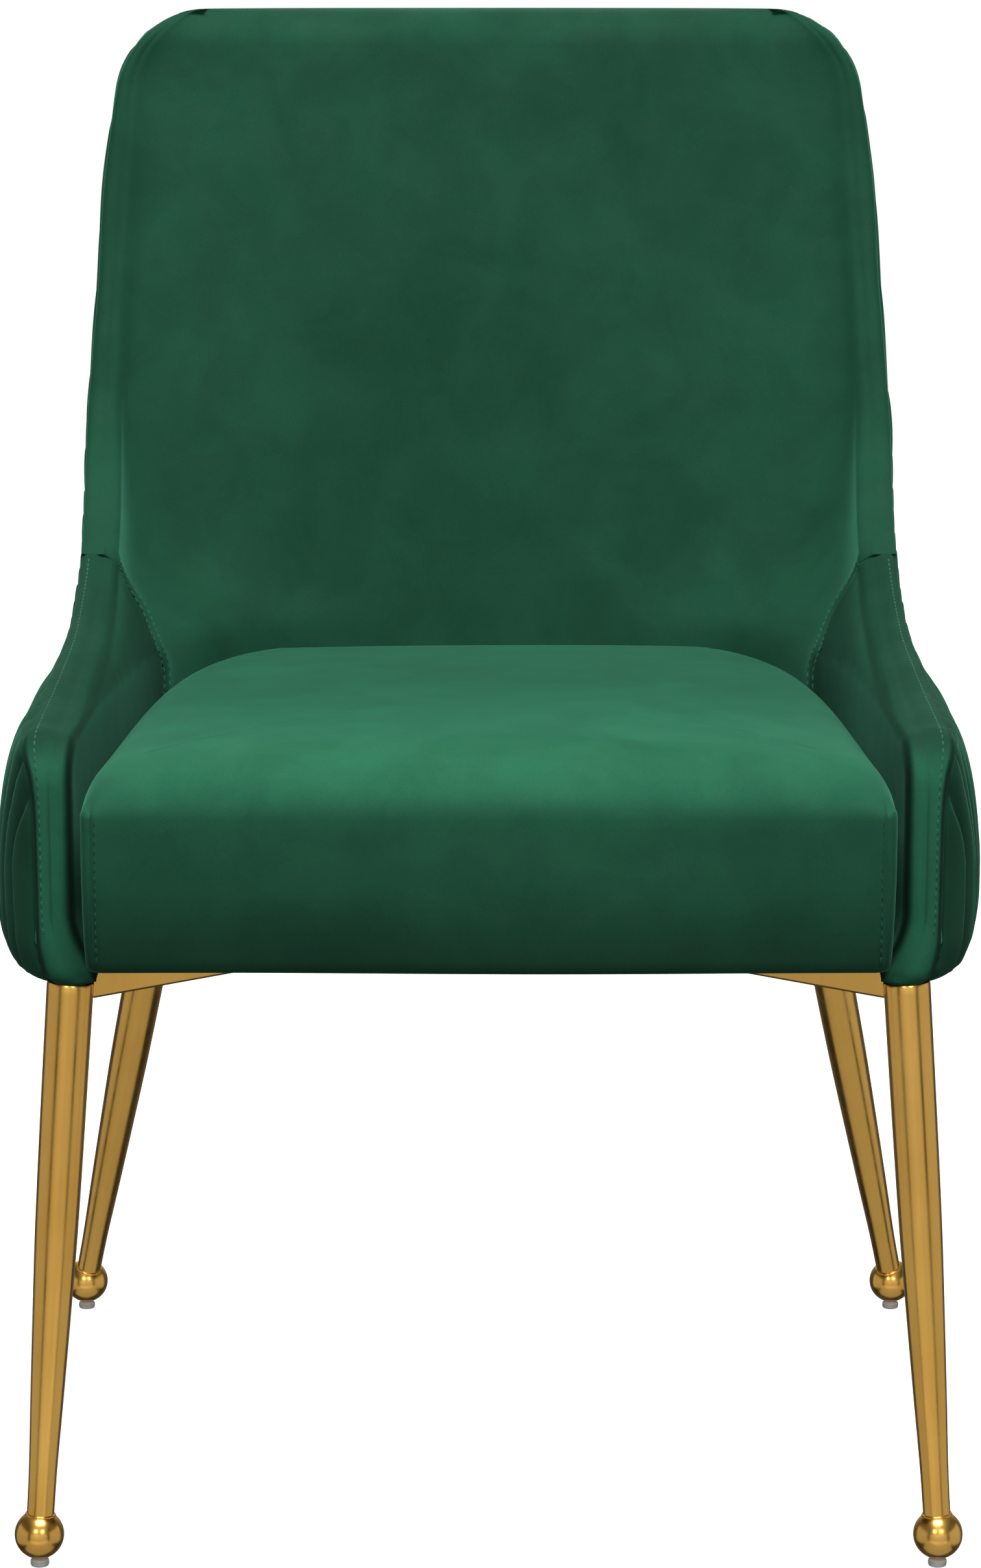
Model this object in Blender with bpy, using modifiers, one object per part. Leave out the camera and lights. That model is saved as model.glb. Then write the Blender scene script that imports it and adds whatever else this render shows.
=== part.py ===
"""A velvet dining chair on a gold cross frame, built piece by piece in Blender.

Metres, +Z up, the floor at Z = 0. The sitter faces -Y and the chair is symmetric about X = 0.
The wooden carcass, the upholstery and the metal base are separate objects, as on a workbench.
"""

import math

import bmesh
import bpy
from mathutils import Matrix, Vector

# ---------------------------------------------------------------- driving dimensions
HEIGHT = 0.868            # floor to the top of the back
FRONT_Y = -0.251          # front edge of the arms, and the line of the front feet
GAP = 0.0003              # clearance between pieces that touch

# Upholstered shell: arms and back. "Depth" is always the distance behind FRONT_Y.
SHELL_BOTTOM = 0.3445     # underside of the outer covers and of the arm bands
INNER_BOTTOM = 0.360      # underside of the pads and boards within
BACK_LEAN = math.radians(8.5)
BACK_CORNER = 0.050       # rounding of the back's two top corners
TOP_ROUND = 0.0225        # rounding of the back's top edge, front to rear
ARM_THICK = 0.0215        # arm's front face, from its outer seam to its inner edge
RIM_THICK = 0.014         # the same edge where it runs up the side of the back
BAND = 0.007              # thickness of the padded band along that edge
BAND_CLEAR = 0.002        # between the band and the covers and pads behind it
SEAT_LEVEL = 0.46         # height at which the inner back starts to lean
INNER_BACK = 0.425        # depth of the inner back at SEAT_LEVEL
ARM_TAPER = 0.10          # how much wider the seat space is at the front than at the back
COVER_T = 0.004           # outer cover with its wadding
SIDE_PAD = 0.010
BACK_PAD = 0.018
BACK_PAD_BOTTOM = 0.4205  # the back pad ends above the ties that cross under it
LAYER_GAP = 0.0022        # between a pad and the curved board behind it
BOARD_T = 0.007           # bent plywood of the sides
BOARD_MARGIN = 0.013      # from the shell's side edge to the board's edge
BACK_BOARD_T = 0.004      # bent plywood behind the back pad
BULGE_RUN = 0.035         # the outer panels swell over this distance from the edge seam
EDGE_SHARE = 0.35         # most of the back's thickness that the band takes at the top of its sides
EDGE_SHARE_RISE = 100.0   # and how fast that grows for pieces that start further in, per metre
SIDE_BOARD_TOP = 0.500
SIDE_BOARD_END = 0.04     # the boards stop this much of the section before the pad seam
BACK_BOARD_FROM = 0.64    # first fraction of the half section that the back board covers
BACK_BOARD_BOTTOM = 0.43
BACK_BOARD_TOP = 0.82
SIDE_PAD_TOP = 0.528

# Seat cushion and the wooden frame under it.
CUSHION_CLEAR = 0.005     # between the cushion and the inner faces of the arms
CUSHION_FRONT = -0.030    # depth of the cushion's front face: it stands proud of the arms
CUSHION_BOTTOM = 0.357
CUSHION_EDGE = 0.462      # top of the cushion's sides, below its crown
CUSHION_CROWN = 0.021
CUSHION_LEVEL = 0.44      # height at which the inner faces give the cushion its plan
CUSHION_CORNER = 0.012    # rounding of its front corners, seen from above
CROWN_CENTRE = 0.20       # depth of the middle of the crown
RECESS_END = 0.46         # depth at which the hollow under the cushion runs out at the rear
RECESS_NARROWING = 0.034
RAIL_T = 0.022
RAIL_BOTTOM = 0.360
RAIL_TOP = 0.416
RAIL_FRONT = -0.0215      # depth of the front rail's face
RAIL_REAR = 0.345         # depth of the rear rail's back face
RAIL_HALF_FRONT = 0.212   # outer faces of the side rails, at the front and at the rear
RAIL_HALF_REAR = 0.178
BLOCK_LEG = 0.093         # legs of the triangular corner blocks
STRAP_T = 0.0015
STRAP_W = 0.045
STRAP_COUNT = 5
TIE_X = 0.115             # ties from the rear rail to the back posts
POST_X = 0.160
POST_W = 0.045
POST_T = 0.016
POST_TOP = 0.80
DUST_COVER_T = 0.0017

# Metal base.
FOOT_Z = 0.0186           # centre of the ball feet
BALL_R = 0.0143
SPIGOT_R = 0.003
SPIGOT_TOP = 0.0165       # above the ball's centre
GLIDE_R = 0.0054
GLIDE_H = 0.0040
GLIDE_STEM_R = 0.0028
GLIDE_STEM_TOP = 0.0095
LEG_WALL = 0.0015
# Outer radius of a leg at each fraction of its length, from top to bottom.
LEG_TAPER = ((0.0, 0.0134), (0.25, 0.0130), (0.45, 0.0124), (0.63, 0.0110), (0.78, 0.0096),
             (0.94, 0.00805), (1.0, 0.0079))
FRONT_FOOT = Vector((0.2590, FRONT_Y, FOOT_Z))
FRONT_HIP = Vector((0.2370, FRONT_Y + 0.0145, 0.3430))
REAR_FOOT = Vector((0.2714, FRONT_Y + 0.500, FOOT_Z))
REAR_HIP = Vector((0.2045, FRONT_Y + 0.372, 0.3400))
BAR_TOP = 0.3547
BAR_H = 0.022
BAR_W = 0.018
PLATE = (0.050, 0.044, 0.0027)
PLATE_BOTTOM = 0.3550
FRONT_PLATE_AT = 0.087    # along the bar, from the leg's axis
REAR_PLATE_AT = 0.112
BOLT_OFFSET = 0.017       # beside the bar
BOLT_R = 0.003
BOLT_HEAD_R = 0.0055
BOLT_HEAD_H = 0.0030
BOLT_TOP = 0.385

# Height of the shell's side edge at each depth: along the arm, up the sweep and the back.
SIDE_EDGE = ((0.0, 0.482), (0.10, 0.493), (0.20, 0.507), (0.30, 0.533), (0.36, 0.566),
             (0.40, 0.604), (0.425, 0.655), (0.45, 0.755), (0.466, 0.830), (0.475, HEIGHT))
# Half width at each height: along the edge seam, and at the fullest part of the outer panels.
SEAM_HALF = ((SHELL_BOTTOM, 0.2455), (0.37, 0.251), (0.482, 0.2515), (0.51, 0.2485), (0.56, 0.2480),
             (0.61, 0.2480), (0.66, 0.2460), (0.75, 0.2395), (HEIGHT, 0.2300))
FULL_HALF = ((SHELL_BOTTOM, 0.2745), (0.350, 0.2785), (0.36, 0.2820), (0.385, 0.2848), (0.40, 0.2848),
             (0.42, 0.2833), (0.44, 0.2806), (0.455, 0.2773), (0.47, 0.2722), (0.482, 0.2658),
             (0.493, 0.2575), (0.51, 0.2530), (0.56, 0.2545), (0.60, 0.2560), (0.65, 0.2535),
             (0.70, 0.2510), (0.75, 0.2475), (0.80, 0.2410), (0.84, 0.2350), (HEIGHT, 0.2330))
# Depth of the outer back at each height.
BACK_OUTER = ((SHELL_BOTTOM, 0.478), (0.36, 0.490), (0.40, 0.500), (0.50, 0.512), (0.65, 0.522),
              (0.80, 0.530), (HEIGHT, 0.532))
# Place of the seam between side pad and back pad at each height, as a fraction of the half section.
PAD_SEAM = ((INNER_BOTTOM, 0.42), (0.466, 0.42), (0.482, 0.405), (0.499, 0.365), (0.515, 0.285), (0.53, 0.14),
            (0.54, 0.0))
BACK_SEAM = 0.70          # outer seam between side and back covers, on the same scale
LEVELS = (SHELL_BOTTOM, 0.352, INNER_BOTTOM, 0.380, 0.410, 0.440, 0.470, 0.482, 0.493, 0.507, 0.533,
          0.566, 0.604, 0.630, 0.655, 0.755, 0.826, 0.845, 0.857, 0.8645, 0.8668)
LEG_FACETS = 16
SMALL_FACETS = 12


# ---------------------------------------------------------------- small helpers
def smooth(points, x):
    """Value at x of a smooth monotone curve through points."""
    xs, ys = zip(*points)
    if x <= xs[0]:
        return ys[0]
    if x >= xs[-1]:
        return ys[-1]
    i = max(k for k in range(len(xs) - 1) if xs[k] <= x)
    slopes = [(ys[k + 1] - ys[k]) / (xs[k + 1] - xs[k]) for k in range(len(xs) - 1)]

    def tangent(k):
        if k in (0, len(xs) - 1):
            return slopes[min(k, len(slopes) - 1)]
        a, b = slopes[k - 1], slopes[k]
        return 0.0 if a * b <= 0 else 2 * a * b / (a + b)

    h = xs[i + 1] - xs[i]
    t = (x - xs[i]) / h
    return ((2 * t**3 - 3 * t**2 + 1) * ys[i] + (t**3 - 2 * t**2 + t) * h * tangent(i)
            + (3 * t**2 - 2 * t**3) * ys[i + 1] + (t**3 - t**2) * h * tangent(i + 1))


def steps(start, end, count):
    """count values from start to end, both included."""
    return [start + (end - start) * k / (count - 1) for k in range(count)]


def mirrored(points):
    """Points for the other side of the chair."""
    return [Vector((-p[0], *p[1:])) for p in points]


def collection(name):
    made = bpy.data.collections.new(name)
    bpy.context.scene.collection.children.link(made)
    return made


def material(name, colour, roughness, metallic=0.0):
    made = bpy.data.materials.new(name)
    made.use_nodes = True
    shader = made.node_tree.nodes["Principled BSDF"]
    shader.inputs["Base Color"].default_value = (*colour, 1.0)
    shader.inputs["Roughness"].default_value = roughness
    shader.inputs["Metallic"].default_value = metallic
    made.diffuse_color = (*colour, 1.0)
    return made


def place(name, bm, finish, where, smooth_angle=None):
    """A mesh object made from bm, which is freed."""
    mesh = bpy.data.meshes.new(name)
    bm.to_mesh(mesh)
    bm.free()
    made = bpy.data.objects.new(name, mesh)
    where.objects.link(made)
    if finish:
        mesh.materials.append(finish)
    if smooth_angle:
        mesh.shade_smooth()
        mesh.set_sharp_from_angle(angle=smooth_angle)
    return made


def box(name, size, centre, finish, where, turn=None, bevel=0.0):
    """A box of that size, turned by a matrix about its centre, with its edges chamfered."""
    bm = bmesh.new()
    bmesh.ops.create_cube(bm, size=1.0)
    bmesh.ops.scale(bm, vec=size, verts=bm.verts)
    made = place(name, bm, finish, where)
    made.matrix_world = Matrix.Translation(centre) @ (turn or Matrix())
    if bevel:
        chamfer = made.modifiers.new("Chamfered edges", "BEVEL")
        chamfer.width = bevel
        chamfer.segments = 1
    return made


def turned(name, profile, finish, where, facets=LEG_FACETS):
    """A turned piece: the (radius, height) profile runs from top to bottom about Z."""
    bm = bmesh.new()
    points = [bm.verts.new((r, 0.0, z)) for r, z in profile]
    for a, b in zip(points, points[1:]):
        bm.edges.new((a, b))
    made = place(name, bm, finish, where)
    screw = made.modifiers.new("Turned", "SCREW")
    screw.steps = screw.render_steps = facets
    screw.use_merge_vertices = True
    screw.merge_threshold = 0.00002
    return made


def loft(name, rings, finish, where, strip_caps=False):
    """A closed form through rings of equally many points, from bottom to top.

    With strip_caps the rings are thin bands, whose first half faces their second half."""
    bm = bmesh.new()
    rows = [[bm.verts.new(p) for p in ring] for ring in rings]
    count = len(rows[0])
    for low, high in zip(rows, rows[1:]):
        for k in range(count):
            n = (k + 1) % count
            bm.faces.new((low[k], low[n], high[n], high[k]))
    for row in (rows[0], rows[-1]):
        if strip_caps:
            for k in range(count // 2 - 1):
                bm.faces.new((row[k], row[k + 1], row[count - 2 - k], row[count - 1 - k]))
        else:
            bm.faces.new(row)
    bmesh.ops.triangulate(bm, faces=[f for f in bm.faces if len(f.verts) > 4])
    bmesh.ops.recalc_face_normals(bm, faces=bm.faces)
    return place(name, bm, finish, where, smooth_angle=math.radians(35))


def prism(name, outline, bottom, top, finish, where):
    """An upright prism over an outline of (x, y) points."""
    return loft(name, [[(x, y, z) for x, y in outline] for z in (bottom, top)], finish, where)


def cut(target, *cutters):
    for cutter in cutters:
        step = target.modifiers.new(f"Cut by {cutter.name}", "BOOLEAN")
        step.operation = "DIFFERENCE"
        step.object = cutter
    return target


def helper(made):
    """Marks an object as a cutter."""
    made.hide_render = True
    made.display_type = "WIRE"
    return made


# ---------------------------------------------------------------- form of the shell
def edge_depth(z, margin=0.0):
    """Depth of the side edge at height z, or of a line that runs margin inside it."""
    return smooth([(height, depth) for depth, height in SIDE_EDGE], z + margin) + margin


def corner_inset(z):
    """Width lost to the rounded top corners at height z."""
    rise = z - (HEIGHT - BACK_CORNER)
    return 0.0 if rise <= 0 else BACK_CORNER - math.sqrt(max(BACK_CORNER**2 - rise**2, 0.0))


def top_inset(z):
    """Depth lost on each side of the rounded top edge at height z."""
    rise = z - (HEIGHT - TOP_ROUND)
    return 0.0 if rise <= 0 else TOP_ROUND - math.sqrt(max(TOP_ROUND**2 - rise**2, 0.0))


def section_angle(q):
    """Angle round a half section at fraction q, spread so that equal steps of q look even."""
    return math.pi / 2 * q**2 / (q**2 + (1 - q) ** 2)


def squarish(angle, exponent):
    """Point of a rounded-square quarter: (sideways, backwards), each from 0 to 1."""
    return max(math.cos(angle), 0.0) ** exponent, max(math.sin(angle), 0.0) ** exponent


def outer_point(z, q):
    """(x, depth) on the outside at height z: q runs from 0, the side edge, to 1, the middle."""
    seam = smooth(SEAM_HALF, z) - corner_inset(z)
    full = smooth(FULL_HALF, z) - corner_inset(z)
    start = edge_depth(z) + min(top_inset(z), 0.5 * TOP_ROUND)
    across, along = squarish(section_angle(q), 0.5)
    run = (smooth(BACK_OUTER, z) - top_inset(z) - start) * along
    x = full * across - (full - seam) * math.exp(-run / BULGE_RUN) * (1 - q) ** 2
    return (0.0 if q == 1 else x), start + run


def inner_point(z, q, shrink=0.0):
    """(x, depth) on the inside, moved shrink towards the sitter."""
    thick = smooth(((0.48, ARM_THICK), (0.62, RIM_THICK)), z)
    seam = smooth(SEAM_HALF, z) - corner_inset(z) - thick
    start = edge_depth(z) + min(top_inset(z), 0.5 * TOP_ROUND)
    middle = INNER_BACK + (z - SEAT_LEVEL) * math.tan(BACK_LEAN) + top_inset(z)
    across, along = squarish(section_angle(q), 0.45)
    depth = start + (middle - start) * along
    taper = (1 + ARM_TAPER * (1 - depth / INNER_BACK)) / (1 + ARM_TAPER * (1 - start / INNER_BACK))
    return (0.0 if q == 1 else seam * across * taper - shrink * across), depth - shrink * along


def wall_point(z, q, distance, side):
    """Point inside the wall, at that distance from its outer or its inner surface, at most halfway."""
    outside = Vector(outer_point(z, q))
    inside = Vector(inner_point(z, q))
    thick = (inside - outside).length
    fraction = distance / max(thick, 1e-6)
    if side == "outer":
        spot = outside.lerp(inside, min(fraction, 0.48) if distance < ARM_THICK / 2 else fraction)
    else:
        spot = inside.lerp(outside, min(fraction, 0.48) if distance < ARM_THICK else fraction)
    return Vector((spot.x, FRONT_Y + spot.y, z))


def edge_fraction(z, margin):
    """The q at which the outside lies margin behind the side edge."""
    start = edge_depth(z)
    reach = smooth(BACK_OUTER, z) - top_inset(z) - start
    most = EDGE_SHARE + EDGE_SHARE_RISE * (margin - BAND)
    along = min((edge_depth(z, margin) - start) / max(reach, 1e-4), most)
    share = math.asin(along**2) / (math.pi / 2)
    return math.sqrt(share) / (math.sqrt(share) + math.sqrt(1 - share))


def wall_piece(name, span, near, far, bottom, top, finish, where, count=9, full_width=False):
    """A piece of the wall between two of its layers.

    span(z) gives the first and last q, near and far are (distance, side) of its two faces."""
    rings = []
    for z in [bottom, *(level for level in LEVELS if bottom < level < top), top]:
        first, last = span(z)
        row = steps(first, last, count)
        near_face = [wall_point(z, q, *near) for q in row]
        far_face = [wall_point(z, q, *far) for q in row]
        if full_width:
            near_face += mirrored(reversed(near_face[:-1]))
            far_face += mirrored(reversed(far_face[:-1]))
        rings.append(near_face + far_face[::-1])
    return loft(name, rings, finish, where, strip_caps=True)


def mirror_copy(source, name, where):
    """The same piece for the other side: its mesh is reflected in X = 0."""
    bm = bmesh.new()
    bm.from_mesh(source.data)
    bmesh.ops.transform(bm, matrix=Matrix.Scale(-1, 4, (1, 0, 0)), verts=bm.verts)
    bmesh.ops.reverse_faces(bm, faces=bm.faces)
    return place(name, bm, source.data.materials[0], where, smooth_angle=math.radians(35))


def pair(left_name, right_name, where, make):
    """make(name) builds the piece at +X, the sitter's left; its mirror image follows."""
    made = make(left_name)
    return made, mirror_copy(made, right_name, where)


# ---------------------------------------------------------------- upholstery
def arm_bands(velvet, where):
    """Padded strips along the arms' front faces and tops, and on up the sides of the back."""
    def make(name):
        return wall_piece(name, lambda z: (0.0, edge_fraction(z, BAND)), (0.0, "outer"), (0.0, "inner"),
                          SHELL_BOTTOM, LEVELS[-1], velvet, where, count=2)
    return pair("arm_band_left", "arm_band_right", where, make)


def outer_covers(velvet, where):
    """Velvet outer covers: two sides that wrap the corners, and the back between them."""
    def side_span(z):
        return edge_fraction(z, BAND + BAND_CLEAR), BACK_SEAM

    def make(name):
        return wall_piece(name, side_span, (0.0, "outer"), (COVER_T, "outer"),
                          SHELL_BOTTOM, LEVELS[-1], velvet, where, count=9)
    pair("outer_cover_left", "outer_cover_right", where, make)
    wall_piece("outer_cover_back", lambda z: (BACK_SEAM + 0.004, 1.0), (0.0, "outer"), (COVER_T, "outer"),
               SHELL_BOTTOM, LEVELS[-1], velvet, where, count=4, full_width=True)


def pad_seam(z):
    """The q of the seam between side pad and back pad, never nearer the edge than the band."""
    return max(smooth(PAD_SEAM, z), edge_fraction(z, BAND + BAND_CLEAR))


def inner_pads(velvet, where):
    """Side pads inside the arms and the back pad, which widens to the edges above their seam."""
    def side_span(z):
        first = edge_fraction(z, BAND + BAND_CLEAR)
        return first, max(pad_seam(z) - 0.008, first + 0.004)

    def make(name):
        return wall_piece(name, side_span, (0.0, "inner"), (SIDE_PAD, "inner"),
                          INNER_BOTTOM, SIDE_PAD_TOP, velvet, where, count=8)
    pair("side_pad_left", "side_pad_right", where, make)

    def back_span(z):
        clear = 0.004 if z <= SIDE_PAD_TOP + 0.03 else 0.0
        return pad_seam(z) + clear, 1.0

    wall_piece("back_pad", back_span, (0.0, "inner"), (BACK_PAD, "inner"),
               BACK_PAD_BOTTOM, LEVELS[-1], velvet, where, count=7, full_width=True)


def cushion_outline(z, inset, count=10):
    """Plan of the seat cushion at height z, drawn in by inset all round."""
    half = []
    for q in steps(0.0, 1.0, count):
        x, depth = inner_point(CUSHION_LEVEL, q, shrink=CUSHION_CLEAR + inset)
        half.append((x, FRONT_Y + depth, z))
    front = FRONT_Y + CUSHION_FRONT + inset
    side = half[0][0]
    half[0] = (side, FRONT_Y + 0.01, z)
    arc = []
    for k in range(4):
        angle = math.radians(30 * k)
        arc.append((side - CUSHION_CORNER * (1 - math.sin(angle)),
                    front + CUSHION_CORNER * (1 - math.cos(angle)), z))
    half = arc + half
    return half + mirrored(reversed(half[:-1]))


def recess_outline(shrink):
    """Plan of the hollow in the cushion's underside that takes the wooden frame."""
    clear = 0.0035 - shrink
    corners = [(RAIL_HALF_FRONT + clear, RAIL_FRONT - 0.0005 + shrink), (RAIL_HALF_REAR + clear, RAIL_REAR)]
    return corners


def seat_cushion(velvet, where, cutters):
    """Box cushion with a crowned top; its velvet sides hang down over the wooden frame."""
    rings = []
    for z, inset in ((CUSHION_BOTTOM, 0.002), (CUSHION_BOTTOM + 0.003, 0.0), (0.40, -0.001), (0.43, -0.001),
                     (CUSHION_EDGE - 0.008, 0.0), (CUSHION_EDGE, 0.005)):
        rings.append(cushion_outline(z, inset))
    for share in (0.14, 0.32, 0.55, 0.80, 0.97):
        ring = cushion_outline(0.0, 0.0)
        rise = CUSHION_CROWN * (1 - (1 - share) ** 2.4)
        centre = Vector((0.0, FRONT_Y + CROWN_CENTRE))
        ring = [(p[0] * (1 - share), centre.y + (p[1] - centre.y) * (1 - share), CUSHION_EDGE + rise)
                for p in ring]
        rings.append(ring)
    cushion = loft("seat_cushion", rings, velvet, where)
    front, rear = recess_outline(0.0)
    outline = [(front[0], FRONT_Y + front[1]), (rear[0], FRONT_Y + rear[1]),
               (rear[0] - RECESS_NARROWING, FRONT_Y + RECESS_END)]
    outline += [(-x, y) for x, y in reversed(outline)]
    recess = helper(prism("seat_recess", outline, 0.30, RAIL_TOP + STRAP_T + 3 * GAP, None, cutters))
    return cut(cushion, recess)


# ---------------------------------------------------------------- wooden carcass
def side_boards(plywood, where):
    """Bent plywood inside each arm, from the front to the corner of the back."""
    def make(name):
        def span(z):
            return edge_fraction(z, BOARD_MARGIN), pad_seam(z) - SIDE_BOARD_END
        return wall_piece(name, span, (SIDE_PAD + LAYER_GAP, "inner"),
                          (SIDE_PAD + LAYER_GAP + BOARD_T, "inner"),
                          INNER_BOTTOM + 0.002, SIDE_BOARD_TOP, plywood, where, count=6)
    return pair("side_board_left", "side_board_right", where, make)


def back_board(plywood, where):
    """Bent plywood behind the back pad."""
    return wall_piece("back_board", lambda z: (BACK_BOARD_FROM, 1.0), (BACK_PAD + LAYER_GAP, "inner"),
                      (BACK_PAD + LAYER_GAP + BACK_BOARD_T, "inner"), BACK_BOARD_BOTTOM, BACK_BOARD_TOP,
                      plywood, where,
                      count=5, full_width=True)


def seat_frame(wood, where):
    """Four rails and four triangular corner blocks, glued into a frame that narrows to the rear."""
    height = RAIL_TOP - RAIL_BOTTOM
    middle_z = (RAIL_TOP + RAIL_BOTTOM) / 2
    front_y = FRONT_Y + RAIL_FRONT
    inner_front_y = front_y + RAIL_T + GAP
    rear_y = FRONT_Y + RAIL_REAR
    box("front_rail", (2 * RAIL_HALF_FRONT, RAIL_T, height), (0, front_y + RAIL_T / 2, middle_z),
        wood, where, bevel=0.002)
    rear_half = RAIL_HALF_REAR - RAIL_T - 0.001
    box("rear_rail", (2 * rear_half, RAIL_T, height), (0, rear_y - RAIL_T / 2, middle_z),
        wood, where, bevel=0.002)
    slope = (RAIL_HALF_REAR - RAIL_HALF_FRONT) / (rear_y - front_y)
    for side, name in ((1, "left"), (-1, "right")):
        def outer_x(y):
            return RAIL_HALF_FRONT + slope * (y - front_y) - GAP
        plan = [(outer_x(inner_front_y), inner_front_y), (outer_x(rear_y), rear_y),
                (outer_x(rear_y) - RAIL_T, rear_y), (outer_x(inner_front_y) - RAIL_T, inner_front_y)]
        prism(f"side_rail_{name}", [(side * x, y) for x, y in plan], RAIL_BOTTOM, RAIL_TOP, wood, where)
        front_x = outer_x(inner_front_y + BLOCK_LEG) - RAIL_T - GAP
        block_y = inner_front_y + GAP
        front_block = [(front_x, block_y), (front_x, block_y + BLOCK_LEG), (front_x - BLOCK_LEG, block_y)]
        rear_x = outer_x(rear_y) - RAIL_T - 0.002
        block_y = rear_y - RAIL_T - GAP
        rear_block = [(rear_x, block_y), (rear_x - BLOCK_LEG, block_y), (rear_x, block_y - BLOCK_LEG)]
        for end, plan in (("front", front_block), ("rear", rear_block)):
            prism(f"corner_block_{end}_{name}", [(side * x, y) for x, y in plan],
                  RAIL_BOTTOM, RAIL_TOP - 0.010, wood, where)


def webbing(jute, where):
    """Straps stapled across the side rails, on which the cushion rests."""
    for number, depth in enumerate(steps(0.045, 0.305, STRAP_COUNT), start=1):
        slope = (RAIL_HALF_REAR - RAIL_HALF_FRONT) / (RAIL_REAR - RAIL_FRONT)
        half = RAIL_HALF_FRONT + slope * (depth + STRAP_W / 2 - RAIL_FRONT) - 0.001
        box(f"webbing_strap_{number}", (2 * half, STRAP_W, STRAP_T),
            (0, FRONT_Y + depth, RAIL_TOP + GAP + STRAP_T / 2), jute, where)


def back_frame(wood, where):
    """Two leaning posts with rails between them, tied to the seat frame by two beams."""
    lean = Matrix.Rotation(-BACK_LEAN, 4, "X")
    offset = BACK_PAD + LAYER_GAP + BACK_BOARD_T + 2 * GAP + POST_T / 2

    def centre_y(z):
        return FRONT_Y + INNER_BACK + (z - SEAT_LEVEL) * math.tan(BACK_LEAN) + offset / math.cos(BACK_LEAN)

    bottom = 0.366
    middle = (bottom + POST_TOP) / 2
    length = (POST_TOP - bottom) / math.cos(BACK_LEAN) - POST_T
    for side, name in ((1, "left"), (-1, "right")):
        box(f"back_post_{name}", (POST_W, POST_T, length), (side * POST_X, centre_y(middle), middle),
            wood, where, turn=lean, bevel=0.002)
        tie_front = FRONT_Y + RAIL_REAR + GAP
        tie_end = centre_y(0.385) - POST_T / 2 - 0.004
        box(f"back_tie_{name}", (0.040, tie_end - tie_front, 0.040),
            (side * TIE_X, (tie_front + tie_end) / 2, 0.388), wood, where, bevel=0.002)
    inner_width = 2 * (POST_X - POST_W / 2 - GAP)
    for name, z in (("back_top_rail", 0.765), ("back_lower_rail", 0.400)):
        box(name, (inner_width, POST_T, 0.050), (0, centre_y(z), z), wood, where, turn=lean, bevel=0.002)


# ---------------------------------------------------------------- metal base
def along(start, end):
    """Matrix that stands a turned piece, drawn down from Z = 0, on the line from start to end."""
    direction = (start - end).normalized()
    return Matrix.Translation(start) @ direction.to_track_quat("Z", "Y").to_matrix().to_4x4()


def leg(name, hip, foot, gold, where):
    """Tapered tube, closed at the top, that stops just clear of the ball below."""
    axis_length = (hip - foot).length
    ankle = LEG_TAPER[-1][1]

    def end_above_ball(radius):
        return math.sqrt(BALL_R**2 - radius**2) + 2 * GAP - axis_length

    length = -end_above_ball(ankle)
    outside = [(smooth(LEG_TAPER, t), -t * length) for t in steps(0.0, 1.0, 7)]
    inside = [(r - LEG_WALL, z) for r, z in reversed(outside)]
    inside[0] = (ankle - LEG_WALL, end_above_ball(ankle - LEG_WALL))
    rim = 0.0012
    top = [(0.0, 0.0), (outside[0][0] - rim, 0.0), (outside[0][0], -rim)]
    hollow_top = [(inside[-1][0], -LEG_WALL), (0.0, -LEG_WALL)]
    made = turned(name, top + outside[1:] + inside[:-1] + hollow_top, gold, where)
    made.matrix_world = along(hip, foot)
    return made


def ball_foot(name, hip, foot, gold, where, cutters):
    """Ball with a spigot that enters the leg, and a plumb hole below for the glide's stem."""
    first = math.asin(SPIGOT_R / BALL_R)
    ball = [(BALL_R * math.sin(a), BALL_R * math.cos(a)) for a in steps(first, math.pi, 11)]
    ball[-1] = (0.0, -BALL_R)
    made = turned(name, [(0.0, SPIGOT_TOP), (SPIGOT_R, SPIGOT_TOP)] + ball, gold, where)
    made.matrix_world = Matrix.Translation(foot) @ (hip - foot).to_track_quat("Z", "Y").to_matrix().to_4x4()
    hole = GLIDE_STEM_R + GAP
    hole_top = GLIDE_STEM_TOP + GAP
    drill = turned(f"{name}_hole", [(0.0, hole_top), (hole, hole_top), (hole, 0.0), (0.0, 0.0)],
                   None, cutters, SMALL_FACETS)
    drill.location = (foot.x, foot.y, 0.0)
    return cut(made, helper(drill))


def glide(name, foot, plastic, where):
    """Plastic glide: a low drum under the ball, with a stem up into it."""
    profile = [(0.0, GLIDE_STEM_TOP), (GLIDE_STEM_R, GLIDE_STEM_TOP), (GLIDE_STEM_R, GLIDE_H),
               (GLIDE_R, GLIDE_H - 0.0003), (GLIDE_R - 0.0002, 0.0008), (GLIDE_R - 0.0010, 0.0), (0.0, 0.0)]
    made = turned(name, profile, plastic, where, SMALL_FACETS)
    made.location = (foot.x, foot.y, 0.0)
    return made


def corner(point, side):
    """The same point on the sitter's left (+1) or right (-1)."""
    return Vector((side * point.x, point.y, point.z))


def legs(gold, plastic, where, cutters):
    for end, hip, foot in (("front", FRONT_HIP, FRONT_FOOT), ("rear", REAR_HIP, REAR_FOOT)):
        for side, name in ((1, "left"), (-1, "right")):
            leg(f"leg_{end}_{name}", corner(hip, side), corner(foot, side), gold, where)
            ball_foot(f"ball_foot_{end}_{name}", corner(hip, side), corner(foot, side), gold, where, cutters)
            glide(f"glide_{end}_{name}", corner(foot, side), plastic, where)


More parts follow.
